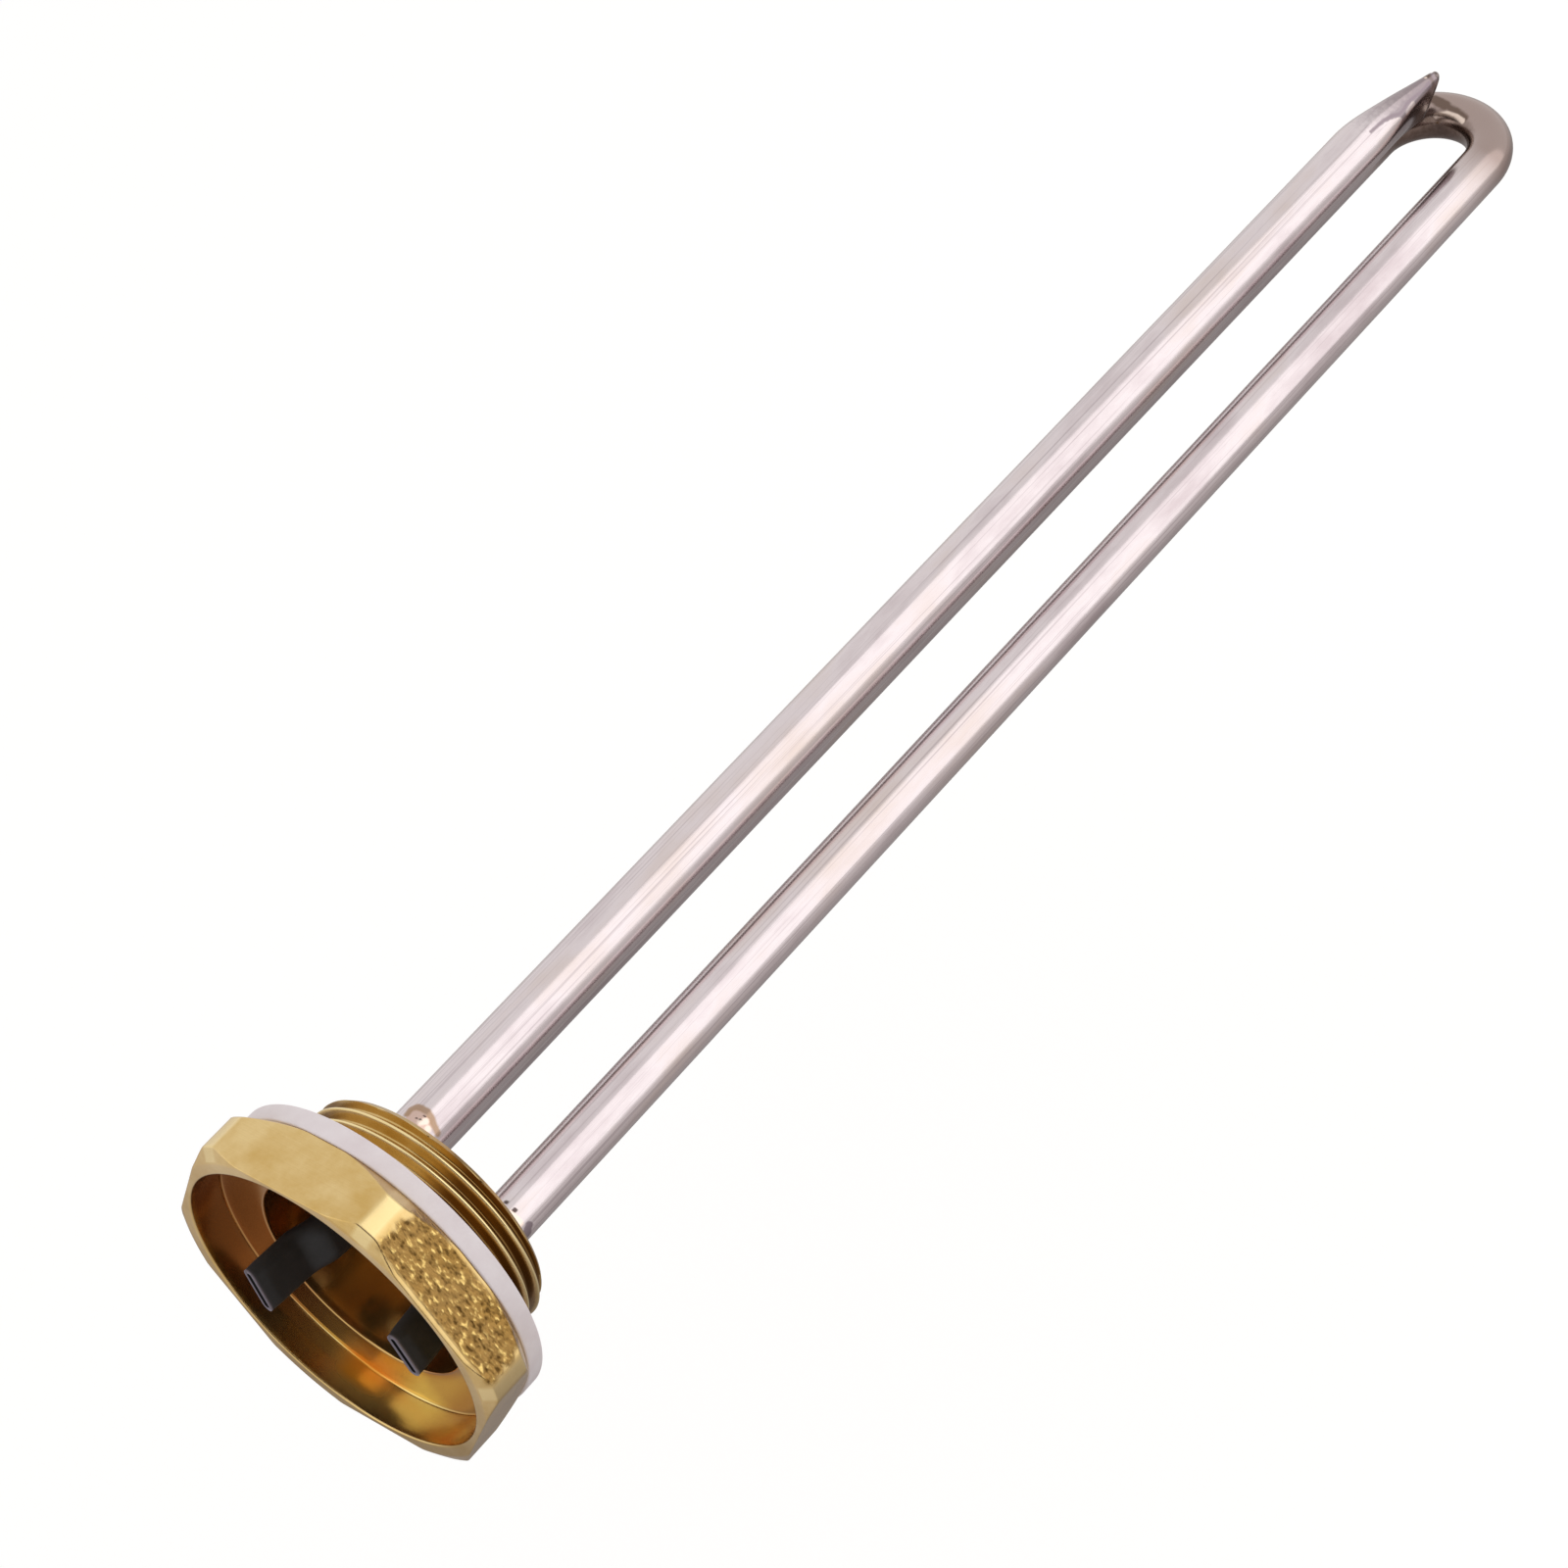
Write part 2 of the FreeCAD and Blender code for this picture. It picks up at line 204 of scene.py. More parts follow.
def strokeShare(points, strokes):
    # 1 on strokes drawn over a surface, 0 beyond them. A stroke is a half width, a soft edge and a
    # broken line in millimetres, or one point for a dot.
    share = np.zeros(points.shape[:-1])
    for width, soft, line in strokes:
        line = np.asarray(line, float)
        away = np.full(share.shape, np.inf)
        for a, b in zip(line, line[1:] if len(line) > 1 else line):
            side = b - a
            t = np.clip((points - a) @ side / max(side @ side, 1e-9), 0.0, 1.0)
            away = np.minimum(away, np.linalg.norm(points - a - t[..., None] * side, axis=-1))
        share = np.maximum(share, 1.0 - smoothStep(width, width + soft, away))
    return share


def strokeValues(points, strokes):
    # one attribute for each tone that has strokes
    return {"stroke" + tone.capitalize(): strokeShare(points, rows) for tone, rows in strokes.items()}


# Materials

def tint(code):
    # an sRGB hex colour as linear values
    parts = [int(code[i:i + 2], 16) / 255 for i in (1, 3, 5)]
    return [p / 12.92 if p <= 0.04045 else ((p + 0.055) / 1.055) ** 2.4 for p in parts] + [1.0]


def addNode(tree, kind, inputs=None, out=0, stops=None, **settings):
    # One shader node and its links. Each input is a number, a colour or another node's output.
    node = tree.nodes.new(kind)
    for key, value in settings.items():
        setattr(node, key, value)
    if stops:
        ramp = node.color_ramp
        while len(ramp.elements) < len(stops):
            ramp.elements.new(0.5)
        for element, (place, code) in zip(ramp.elements, stops):
            element.position = place
            element.color = tint(code)
    for key, value in (inputs or {}).items():
        if isinstance(value, bpy.types.NodeSocket):
            tree.links.new(value, node.inputs[key])
        else:
            node.inputs[key].default_value = tint(value) if isinstance(value, str) else value
    return node.outputs[out] if node.outputs else None


def makeMaterial(name, paint, look):
    # paint adds the nodes that a look needs and gives back its colour, how far it is metal, its
    # roughness and the height of its surface in millimetres
    material = bpy.data.materials.new(name)
    material.use_nodes = True
    tree = material.node_tree
    tree.nodes.clear()
    place = addNode(tree, "ShaderNodeTexCoord", out="Object")
    colour, metallic, rough, height = paint(tree, place, look)
    bump = addNode(tree, "ShaderNodeBump", {"Height": height, "Strength": 1.0, "Distance": mm})
    shader = addNode(tree, "ShaderNodeBsdfPrincipled", {
        "Base Color": colour, "Metallic": metallic, "Roughness": rough, "Normal": bump})
    addNode(tree, "ShaderNodeOutputMaterial", {"Surface": shader})
    return material


brassLook = {
    "clean": "#CAA866", "pale": "#DEC38C", "deep": "#A67E3C", "rough": "#88642F", "inside": "#DFC57B",
    "dirtAndShade": "#4E3616", "root": "#6E4A1C", "wornAndHighlight": "#F0DCA6", "paintedGlint": "#F2D080", "paintedGlow": "#EAA036",
    "cupBrown": "#A87444",
    "stainSize": 7.0, "turnPitch": 0.24, "turnHeight": 0.0016, "turnShare": 0.22,
    "dentSize": (1.25, 0.68, 1.25), "dentTurn": 240.0, "dentHeight": 0.2,
    # tones of the beaten flat, with painted glints on the dents' crowns and dirt and painted shade in their
    # hollows: where each starts and ends in the noise of the dents, and its share
    "dentTones": ((0.0, 0.2, 0.85, "rough"), (0.45, 0.30, 0.85, "dirtAndShade"), (0.54, 0.64, 0.7, "clean"),
                  (0.60, 0.70, 0.8, "paintedGlint")),
    # how much of the metal a film hides in the cup, and in its orange patch, a painted reflection
    "film": 0.07, "paintedGlowFilm": 0.35,
    # roughness of clean metal, and what stains, the beaten flat and the cup add to it
    "satin": 0.16, "stainSatin": 0.12, "beatenSatin": 0.07, "cupSatin": -0.08,
}


def paintBrass(tree, place, look):
    # Yellow brass, forged, then turned on the lathe and left bare: a warm gold with fine rings from
    # the tool on the turned faces and straight ones on the milled flats, a thin brown film inside the
    # cup, which is browner at its left, its bottom and a patch at its right, and an orange patch low
    # in its mouth that is a painted reflection; painted shade in the thread's roots, bright crests and
    # corners that are partly wear and partly painted highlight, and a flat beaten rough with close,
    # long dents that glint on one side, with painted glints on their crowns and dirt and painted shade
    # in their hollows.
    castSkin, boreShade, valley, milled, wornAndHighlight, cupBrown, paintedGlow = [
        addNode(tree, "ShaderNodeAttribute", out="Fac", attribute_name=key)
        for key in ("castSkin", "boreShade", "valley", "milled", "wornAndHighlight", "cupBrown", "paintedGlow")]
    stain = addNode(tree, "ShaderNodeTexNoise", {
        "Vector": place, "Scale": 1 / (look["stainSize"] * mm), "Detail": 5.0, "Roughness": 0.6})
    # the tool's marks follow the depth on walls and flats, and the distance from the axis on faces
    flat = addNode(tree, "ShaderNodeVectorMath", {0: place, 1: (1.0, 0.0, 1.0)}, operation="MULTIPLY")
    radius = addNode(tree, "ShaderNodeVectorMath", {0: flat}, out="Value", operation="LENGTH")
    depth = addNode(tree, "ShaderNodeSeparateXYZ", {"Vector": place}, out="Y")
    turned = addNode(tree, "ShaderNodeMath", {0: 1.0, 1: milled}, operation="SUBTRACT")
    lane = addNode(tree, "ShaderNodeMath", {0: radius, 1: turned, 2: depth}, operation="MULTIPLY_ADD")
    rings = addNode(tree, "ShaderNodeTexNoise", {
        "W": lane, "Scale": 1 / (look["turnPitch"] * mm), "Detail": 3.0, "Roughness": 0.7},
        noise_dimensions="1D")
    # dents longer round the plug than along it
    across = addNode(tree, "ShaderNodeMapping", {
        "Vector": place, "Rotation": (0.0, math.radians(look["dentTurn"]), 0.0),
        "Scale": [size * mm for size in look["dentSize"]]}, vector_type="TEXTURE")
    dents = addNode(tree, "ShaderNodeTexNoise", {
        "Vector": across, "Scale": 1.0, "Detail": 1.6, "Roughness": 0.6})

    # tones laid over each other, each with its share
    colour = addNode(tree, "ShaderNodeValToRGB", {"Fac": stain},
                     stops=[(0.32, look["clean"]), (0.66, look["pale"])])
    share = addNode(tree, "ShaderNodeMath", {0: rings, 1: look["turnShare"]}, operation="MULTIPLY")
    layers = [(share, "deep")]
    for start, end, strength, tone in look["dentTones"]:
        share = addNode(tree, "ShaderNodeMapRange", {
            "Value": dents, "From Min": start, "From Max": end, "To Max": strength})
        share = addNode(tree, "ShaderNodeMath", {0: share, 1: castSkin}, operation="MULTIPLY")
        layers.append((share, tone))
    patchy = addNode(tree, "ShaderNodeMapRange", {
        "Value": stain, "From Min": 0.3, "From Max": 0.7, "To Min": 0.7})
    share = addNode(tree, "ShaderNodeMath", {0: boreShade, 1: patchy}, operation="MULTIPLY")
    layers += [(share, "inside"), (cupBrown, "cupBrown"), (paintedGlow, "paintedGlow"), (valley, "root"), (wornAndHighlight, "wornAndHighlight")]
    for share, tone in layers:
        colour = addNode(tree, "ShaderNodeMix", {0: share, 6: colour, 7: look[tone]}, out=2,
                         data_type="RGBA")

    # one value after another is multiplied by its weight and added up
    metallic, rough = 1.0, look["satin"]
    for value, weight in ((boreShade, -look["film"]), (paintedGlow, -look["paintedGlowFilm"])):
        metallic = addNode(tree, "ShaderNodeMath", {0: value, 1: weight, 2: metallic},
                           operation="MULTIPLY_ADD")
    for value, weight in ((stain, look["stainSatin"]), (castSkin, look["beatenSatin"]),
                          (boreShade, look["cupSatin"])):
        rough = addNode(tree, "ShaderNodeMath", {0: value, 1: weight, 2: rough}, operation="MULTIPLY_ADD")

    smooth = addNode(tree, "ShaderNodeMath", {0: 1.0, 1: castSkin}, operation="SUBTRACT")
    smooth = addNode(tree, "ShaderNodeMath", {0: smooth, 1: look["turnHeight"]}, operation="MULTIPLY")
    beaten = addNode(tree, "ShaderNodeMath", {0: castSkin, 1: look["dentHeight"]}, operation="MULTIPLY")
    height = addNode(tree, "ShaderNodeMath", {0: rings, 1: smooth}, operation="MULTIPLY")
    height = addNode(tree, "ShaderNodeMath", {0: dents, 1: beaten, 2: height}, operation="MULTIPLY_ADD")
    return colour, metallic, rough, height


steelLook = {
    "bright": "#D4C9CA", "shade": "#BFB1B3", "warm": "#CBBBB4", "straw": "#A08268", "burn": "#66544A",
    "violet": "#8A7C82", "pit": "#3C2A26", "flux_and_highlight": "#E6D2C4", "lilac": "#908488", "haze": "#B8A8A2",
    "smoke": "#9E8B84", "blush": "#C8AA9C", "line": "#94878A",
    # width, length and width again of the drawn lines and of the clouds
    "lineSize": (0.35, 90.0, 0.35), "cloudSize": (8.0, 30.0, 8.0), "speckSize": 0.7,
    # where the lines start and are full in their noise, their share of the colour and their depth
    "lineSpan": (0.54, 0.70), "lineShare": 0.45, "lineHeight": 0.0022,
    # share of the strokes at their middles, and how far specks break up their edges
    "strokeTop": 0.9, "speckShare": 0.4,
    # where each tint starts, how far it reaches, its share and tones: a heat tint by the braze and a grey
    # tone that darkens the bend; and how far the clouds shift their edges
    "tintBands": ((14.2, -3.0, 0.6, "straw", "burn"), (262.0, 14.0, 0.95, "haze", "smoke")),
    "tintWander": 4.0,
    # roughness of clean metal, and what the clouds add to it
    "satin": 0.13, "cloudSatin": 0.10,
}


def paintSteel(tree, place, look):
    # Austenitic stainless tube, cold drawn and bright annealed, then brazed: a soft pinkish silver
    # with long dark lines from the die, faint clouds from handling, a straw and brown heat tint
    # close to the braze and a grey tone that darkens the bend, a lilac tone on the pinched end that is
    # partly heat tint and partly painted shade, and strokes of flux, burnt film and pits, with a painted
    # highlight and painted shade on the bend.
    lines, clouds = [addNode(tree, "ShaderNodeTexNoise", {
        "Vector": addNode(tree, "ShaderNodeMapping", {
            "Vector": place, "Scale": [side * mm for side in look[size]]}, vector_type="TEXTURE"),
        "Scale": 1.0, "Detail": detail, "Roughness": 0.6})
        for size, detail in (("lineSize", 2.0), ("cloudSize", 5.0))]
    specks = addNode(tree, "ShaderNodeTexNoise", {
        "Vector": place, "Scale": 1 / (look["speckSize"] * mm), "Detail": 2.0})
    base = addNode(tree, "ShaderNodeValToRGB", {"Fac": clouds},
                   stops=[(0.30, look["shade"]), (0.50, look["bright"]), (0.74, look["warm"])])

    # tones laid over each other, each with its share
    start, end = look["lineSpan"]
    share = addNode(tree, "ShaderNodeMapRange", {
        "Value": lines, "From Min": start, "From Max": end, "To Max": look["lineShare"]})
    layers = [(share, look["line"])]
    depth = addNode(tree, "ShaderNodeSeparateXYZ", {"Vector": place}, out="Y")
    wander = addNode(tree, "ShaderNodeMath", {0: clouds, 1: look["tintWander"] * mm, 2: depth},
                     operation="MULTIPLY_ADD")
    for start, reach, strength, first, second in look["tintBands"]:
        near = addNode(tree, "ShaderNodeMapRange", {
            "Value": wander, "From Min": start * mm, "From Max": (start + reach) * mm})
        bandTone = addNode(tree, "ShaderNodeValToRGB", {"Fac": near},
                       stops=[(0.0, look["bright"]), (0.5, look[first]), (0.95, look[second])])
        share = addNode(tree, "ShaderNodeMath", {0: near, 1: strength}, operation="MULTIPLY")
        layers.append((share, bandTone))
    for tone in ("lilac", "blush", "straw", "burn", "flux_and_highlight", "violet", "pit"):
        stroke = addNode(tree, "ShaderNodeAttribute", out="Fac", attribute_name="stroke" + tone.capitalize())
        # the specks are added to the stroke, and only what stands above their own height counts
        stroke = addNode(tree, "ShaderNodeMath", {0: specks, 1: look["speckShare"], 2: stroke},
                         operation="MULTIPLY_ADD")
        share = addNode(tree, "ShaderNodeMapRange", {
            "Value": stroke, "From Min": look["speckShare"], "From Max": 1.0, "To Max": look["strokeTop"]})
        layers.append((share, look[tone]))
    colour = base
    for share, tone in layers:
        colour = addNode(tree, "ShaderNodeMix", {0: share, 6: colour, 7: tone}, out=2, data_type="RGBA")

    rough = addNode(tree, "ShaderNodeMath", {0: clouds, 1: look["cloudSatin"], 2: look["satin"]},
                    operation="MULTIPLY_ADD")
    height = addNode(tree, "ShaderNodeMath", {0: lines, 1: look["lineHeight"]}, operation="MULTIPLY")
    return colour, 1.0, rough, height


def paintPlain(tree, place, look):
    # Two tones that drift into each other over one size, with a grain of another size in the surface.
    drift = addNode(tree, "ShaderNodeTexNoise", {
        "Vector": place, "Scale": 1 / (look["size"] * mm), "Detail": 4.0, "Roughness": 0.6})
    grain = addNode(tree, "ShaderNodeTexNoise", {
        "Vector": place, "Scale": 1 / (look["grain"] * mm), "Detail": 3.0})
    colour = addNode(tree, "ShaderNodeValToRGB", {"Fac": drift},
                     stops=[(0.32, look["tones"][0]), (0.68, look["tones"][1])])
    if "lip" in look:
        edge = addNode(tree, "ShaderNodeAttribute", out="Fac", attribute_name="lip")
        colour = addNode(tree, "ShaderNodeMix", {0: edge, 6: colour, 7: look["lip"]}, out=2,
                         data_type="RGBA")
    rough = addNode(tree, "ShaderNodeMath", {0: grain, 1: look["spread"], 2: look["rough"]},
                    operation="MULTIPLY_ADD")
    height = addNode(tree, "ShaderNodeMath", {0: grain, 1: look["height"]}, operation="MULTIPLY")
    return colour, look.get("metallic", 0.0), rough, height


plainLooks = {
    # weld metal, melted without filler and left as it froze: dark, bluish brown and glossy
    "heatTintedWeldBead": {"tones": ("#3C302C", "#A89A96"), "size": 0.8, "metallic": 1.0, "rough": 0.2,
                           "spread": 0.2, "height": 0.03, "grain": 0.5},
    # silver braze with its flux not washed off: dull yellow metal under a brown glassy crust
    "fluxStainedSilverBraze": {"tones": ("#7A5A40", "#B79A72"), "size": 1.1, "metallic": 0.75, "rough": 0.35,
                               "spread": 0.3, "height": 0.06, "grain": 0.45},
    # fibre and rubber gasket, moulded, with a dull lilac-white skin that dirt greys a little
    "mouldedGasketRubber": {"tones": ("#E2D5D6", "#ECE2E3"), "size": 6.0, "rough": 0.48, "spread": 0.2,
                            "height": 0.006, "grain": 0.3},
    # heat-shrunk insulating sleeve: black and soft, a faint waxy sheen, a paler stressed lip
    "blackShrinkSleeve": {"tones": ("#171616", "#232122"), "size": 2.5, "rough": 0.5, "spread": 0.2,
                          "height": 0.006, "grain": 0.35, "lip": "#8D8490"},
    # steatite bead, pressed and fired: cream white with an eggshell surface
    "firedSteatite": {"tones": ("#E9E2D2", "#F2EEE4"), "size": 2.0, "rough": 0.38, "spread": 0.15,
                      "height": 0.004, "grain": 0.25},
    # silicone seal, poured and cured: a matt brick red
    "curedSiliconeSeal": {"tones": ("#A8523F", "#B96552"), "size": 1.5, "rough": 0.5, "spread": 0.15,
                          "height": 0.006, "grain": 0.3},
    # nickel-plated steel pin, drawn: a cool bright grey
    "nickelPlatedPin": {"tones": ("#A8A49C", "#C4C0B8"), "size": 3.0, "metallic": 1.0, "rough": 0.24,
                        "spread": 0.15, "height": 0.002, "grain": 0.2},
    # tinned brass blade, blanked: soft grey with a little yellow showing through
    "tinnedBrassBlade": {"tones": ("#B8B2A2", "#CFCAC0"), "size": 2.0, "metallic": 1.0, "rough": 0.28,
                         "spread": 0.18, "height": 0.002, "grain": 0.2},
    # magnesia powder, pressed hard: chalk white
    "pressedMagnesia": {"tones": ("#E8E6E0", "#F2F0EC"), "size": 2.0, "rough": 0.8, "spread": 0.1,
                        "height": 0.006, "grain": 0.2},
    # resistance wire, oxidised in service: dark olive grey
    "oxidisedResistanceWire": {"tones": ("#4E4A42", "#6E685C"), "size": 1.0, "metallic": 0.9, "rough": 0.4,
                               "spread": 0.2, "height": 0.004, "grain": 0.2},
}

print("stage: materials")
turnedBrass = makeMaterial("turnedAndForgedBrass", paintBrass, brassLook)
drawnSteel = makeMaterial("brightAnnealedSteelTube", paintSteel, steelLook)
plain = {name: makeMaterial(name, paintPlain, look) for name, look in plainLooks.items()}

# inner pieces keep their solids
innerPieces = [("magnesia_fill", "pressedMagnesia", "powder"),
               ("resistance_coil", "oxidisedResistanceWire", "coil")]
for number in (1, 2):
    innerPieces += [("cold_pin_%d" % number, "nickelPlatedPin", "pin"),
                    ("terminal_tab_%d" % number, "tinnedBrassBlade", "tab"),
                    ("end_seal_%d" % number, "curedSiliconeSeal", "seal")]
for nodeName, material, slotName in innerPieces:
    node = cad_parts[nodeName]
    node.data.materials.clear()
    node.data.materials.append(plain[material])


# Plug

plug = {
    "threadRadius": 20.95, "pitch": 2.309, "threadPhase": -0.056, "barrelEnd": 9.2, "barrelChamfer": 1.3,
    "relief": 1.5, "halfFlats": 27.2, "cornerRadius": 30.4, "cornerBlend": 0.12, "front": -13.2,
    "back": -3.2, "frontRadius": 28.4, "frontAngle": 30.0, "backRadius": 27.4, "backAngle": 40.0,
    "rimBlend": 0.06, "rimInset": 0.15, "mouthRadius": 26.2, "shoulder": -6.8, "cupRadius": 18.2,
    "floor": 6.2, "floorFillet": 0.8, "cupEdge": 0.35, "ledgeFillet": 0.45, "mouthEdge": 0.35,
    "edge": 0.3, "holeRim": 1.9, "skinGrain": 0.012,
    "tubeHoles": ((-10.65, -1.5, 4.06), (10.65, -1.5, 4.06), (-3.5, 9.25, 4.31)), "holeSteps": 72,
    # the beaten flat, its reach across with both ragged ends, and the size of its dents
    "roughFlat": 30.0, "beatenReach": (-13.4, -12.4, 12.0, 13.2), "ragged": 0.7,
    "dentDepth": 0.13, "dentAcross": 1.15, "dentAlong": 0.75,
    # share of brown in the thread's roots, which is painted shade, and of bright metal on its crests and on
    # the corners, partly wear and partly painted highlight
    "rootShade": 0.85, "crestShade": 0.85, "cornerShade": 0.5,
    # share of brown at the cup's left, at its bottom and at its right, and more of it at the bottom
    # of the right, and where they and the orange lie, in degrees: start, full, fade and end
    "brownShades": (0.9, 0.55, 0.55, 0.4),
    "leftBrown": (105.0, 140.0, 210.0, 248.0), "rightBrown": (280.0, 294.0, 322.0, 340.0),
    "orange": (238.0, 250.0, 256.0, 274.0),
}


def threadDepth(y, angles, p):
    # How far the cutter went in: a 55 degree V, 0.9605 pitch high when sharp, whose crest and root
    # are rounded over at 0.3201 pitch from its middle. A right-hand helix keeps y / pitch + turn
    # constant, because the angle runs from X to Z, against +Y.
    phase = y / p["pitch"] + angles / (2 * np.pi) + p["threadPhase"]
    wave = 1.0 - 4.0 * np.abs(phase - np.round(phase))
    full = 0.9605 * p["pitch"]
    half = 0.3201 * p["pitch"]
    return half - softLimit(0.5 * full * wave, half)


def plugColumns(p):
    # Angles of the columns in degrees, closer on the rough flat, and each one's offset from the
    # middle of its own flat. The corners are turned to a cylinder over the last few degrees.
    land = math.degrees(math.acos(p["halfFlats"] / p["cornerRadius"]))
    degrees, fromMiddle = [], []
    for middle in range(30, 390, 60):
        count = 96 if middle == p["roughFlat"] else 50
        offset = np.concatenate([np.linspace(-30, -land, 5, endpoint=False),
                                 np.linspace(-land, land, count, endpoint=False),
                                 np.linspace(land, 30, 5, endpoint=False)])
        degrees.append(middle + offset)
        fromMiddle.append(offset)
    return np.concatenate(degrees), np.concatenate(fromMiddle), land


def plugProfile(p, degrees, fromMiddle):
    # The lathe's profile is a broken line with rounded corners, and each column has its own:
    # outside, the radius is the smaller of the hexagon's, halfFlats / cos(offset), and the turned
    # corners'. The barrel's rows follow, cut by the thread.
    angles, one = np.radians(degrees), np.ones(len(degrees))
    hexRadius = p["halfFlats"] / np.cos(np.radians(fromMiddle))
    outside = softSmaller(hexRadius, p["cornerRadius"] * one, p["cornerBlend"])
    frontRim, backRim = [softSmaller(outside, p[key] * one, p["rimBlend"]) - p["rimInset"]
                         for key in ("frontRadius", "backRadius")]
    frontDrop = (outside - frontRim) * math.tan(math.radians(p["frontAngle"]))
    backDrop = (outside - backRim) * math.tan(math.radians(p["backAngle"]))
    reliefRadius = p["threadRadius"] - p["relief"]
    chamferRadius = p["threadRadius"] - p["barrelChamfer"]
    # radius, y, how far the corner is rounded, and points on the side that follows
    spots = [
        (p["cupRadius"] - 2.0, p["floor"], 0, 1), (p["cupRadius"], p["floor"], p["floorFillet"], 9),
        (p["cupRadius"], p["shoulder"], p["cupEdge"], 5),
        (p["mouthRadius"], p["shoulder"], p["ledgeFillet"], 6),
        (p["mouthRadius"], p["front"], p["mouthEdge"], 3), (frontRim, p["front"], p["edge"], 3),
        (outside, p["front"] + frontDrop, p["edge"], 28), (outside, p["back"] - backDrop, p["edge"], 3),
        (backRim, p["back"], p["edge"], 5), (reliefRadius, p["back"], 0, 0)]
    head = roundedProfile([np.stack([radius * one, y * one], -1) for radius, y, _, _ in spots],
                          [spot[2] for spot in spots], [spot[3] for spot in spots])
    y = np.linspace(p["back"], p["barrelEnd"] - 0.01, 108)[:, None] * one
    envelope = np.interp(
        y, [p["back"], -p["relief"], 0.0, p["barrelEnd"] - p["barrelChamfer"], p["barrelEnd"]],
        [reliefRadius, reliefRadius, p["threadRadius"], p["threadRadius"], chamferRadius])
    cut = p["threadRadius"] - threadDepth(y, angles, p)
    grain = p["skinGrain"] * (1 + latticeNoise(degrees / 360 * 60, y * 1.2, 5, 60))
    barrel = np.stack([np.minimum(envelope, cut) - grain, y], -1)
    rims = [np.stack([rim, p["barrelEnd"] * one], -1)[None] for rim in (
        barrel[-1, :, 0] - 0.12, barrel[-1, :, 0] - 0.5 * p["holeRim"],
        (chamferRadius - p["holeRim"]) * one)]
    return np.concatenate([head, barrel[1:]] + rims), len(head)


def flatWithHoles(rim, holes, y, p):
    # A flat disk inside a ring of points, less the three tubes' holes, in triangles.
    loops = [rim] + holes
    flat = np.concatenate(loops)
    edges, count = [], 0
    for loop in loops:
        edges += [(count + i, count + (i + 1) % len(loop)) for i in range(len(loop))]
        count += len(loop)
    found = delaunay_2d_cdt([Vector(q) for q in flat], edges, [], 0, 1e-5)
    spots = flat[[origin[0] for origin in found[3]]]
    faces = np.array([list(face) for face in found[2]])
    centres = spots[faces].mean(1)
    keep = np.ones(len(faces), bool)
    for x, z, r in p["tubeHoles"]:
        keep &= np.hypot(centres[:, 0] - x, centres[:, 1] - z) > r * math.cos(math.pi / p["holeSteps"])
    return np.stack([spots[:, 0], np.full(len(spots), y), spots[:, 1]], -1), faces[keep]


def beatenFlat(p, degrees, y, onSide):
    # The flat that was left as forged: its share at each point, ragged at both ends, and how far
    # two sizes of lattice noise push the surface in.
    offset = (degrees - p["roughFlat"] + 180) % 360 - 180
    across = p["halfFlats"] * np.tan(np.radians(np.clip(offset, -29, 29)))
    ragged = p["ragged"] * latticeNoise(0 * y + 3, y / 0.8 + 50, 17)
    start, full, fade, end = p["beatenReach"]
    mask = smoothStep(start, full, across - ragged) * (1 - smoothStep(fade, end, across + ragged))
    mask = mask * span(y, p["front"] + 0.6, p["front"] + 1.2, p["back"] - 0.9, p["back"] - 0.3)
    cast = onSide * mask * (np.abs(offset) < 29.5)
    u, v = across / p["dentAcross"] + 40, y / p["dentAlong"] + 40
    dents = latticeNoise(u + 0 * v, v, 11) + 0.6 * latticeNoise(u * 1.9 + 7 + 0 * v, v * 1.9 + 3, 12)
    return cast, -p["dentDepth"] * (0.5 + 0.5 * dents) * cast


def plugShades(p, degrees, fromCorner, radius, y, onSide, row, headRows):
    # The share that each shade of brass has at each point.
    psi = degrees % 360
    inBore = (radius < p["mouthRadius"] + 0.02) & (y > p["front"] + 0.35) & (row < headRows - 30)
    onBarrel = (row >= headRows) & (y < p["barrelEnd"] - 0.6)
    # painted shade in the roots, less of it at the thread's top, and bright crests, partly wear and partly
    # painted highlight
    cutIn = p["threadRadius"] - radius
    top = smoothStep(0.75, 0.96, np.sin(np.radians(degrees)))
    deep = smoothStep(0.12, 0.6, cutIn) * (1 - 0.9 * top) * onBarrel
    crest = (1 - smoothStep(0.02, 0.12, cutIn)) * onBarrel * (y > 0)
    # the cup is browner at its left side, its bottom and a patch at the right
    bottom = smoothStep(p["mouthRadius"] - 6.0, p["cupRadius"], radius)
    left, low, right, rightLow = p["brownShades"]
    brown = np.maximum(left * span(psi, *p["leftBrown"]), low * bottom)
    brown = np.maximum(brown, (right + rightLow * bottom) * span(psi, *p["rightBrown"]))
    # an orange patch low on the mouth's wall: a painted reflection
    orange = smoothStep(p["cupRadius"] + 1.0, p["mouthRadius"] - 0.5, radius) * span(psi, *p["orange"])
    orange = orange * (0.4 + 0.6 * smoothStep(-11.5, -9.5, y))
    return {
        "boreShade": inBore * smoothStep(p["front"], p["front"] + 2.0, y),
        "valley": p["rootShade"] * deep,
        "milled": onSide * (1 - smoothStep(-0.4, 0.6, fromCorner)),
        "wornAndHighlight": p["crestShade"] * crest + p["cornerShade"] * onSide * smoothStep(0.3, 1.2, fromCorner),
        "cupBrown": inBore * brown, "paintedGlow": inBore * orange}


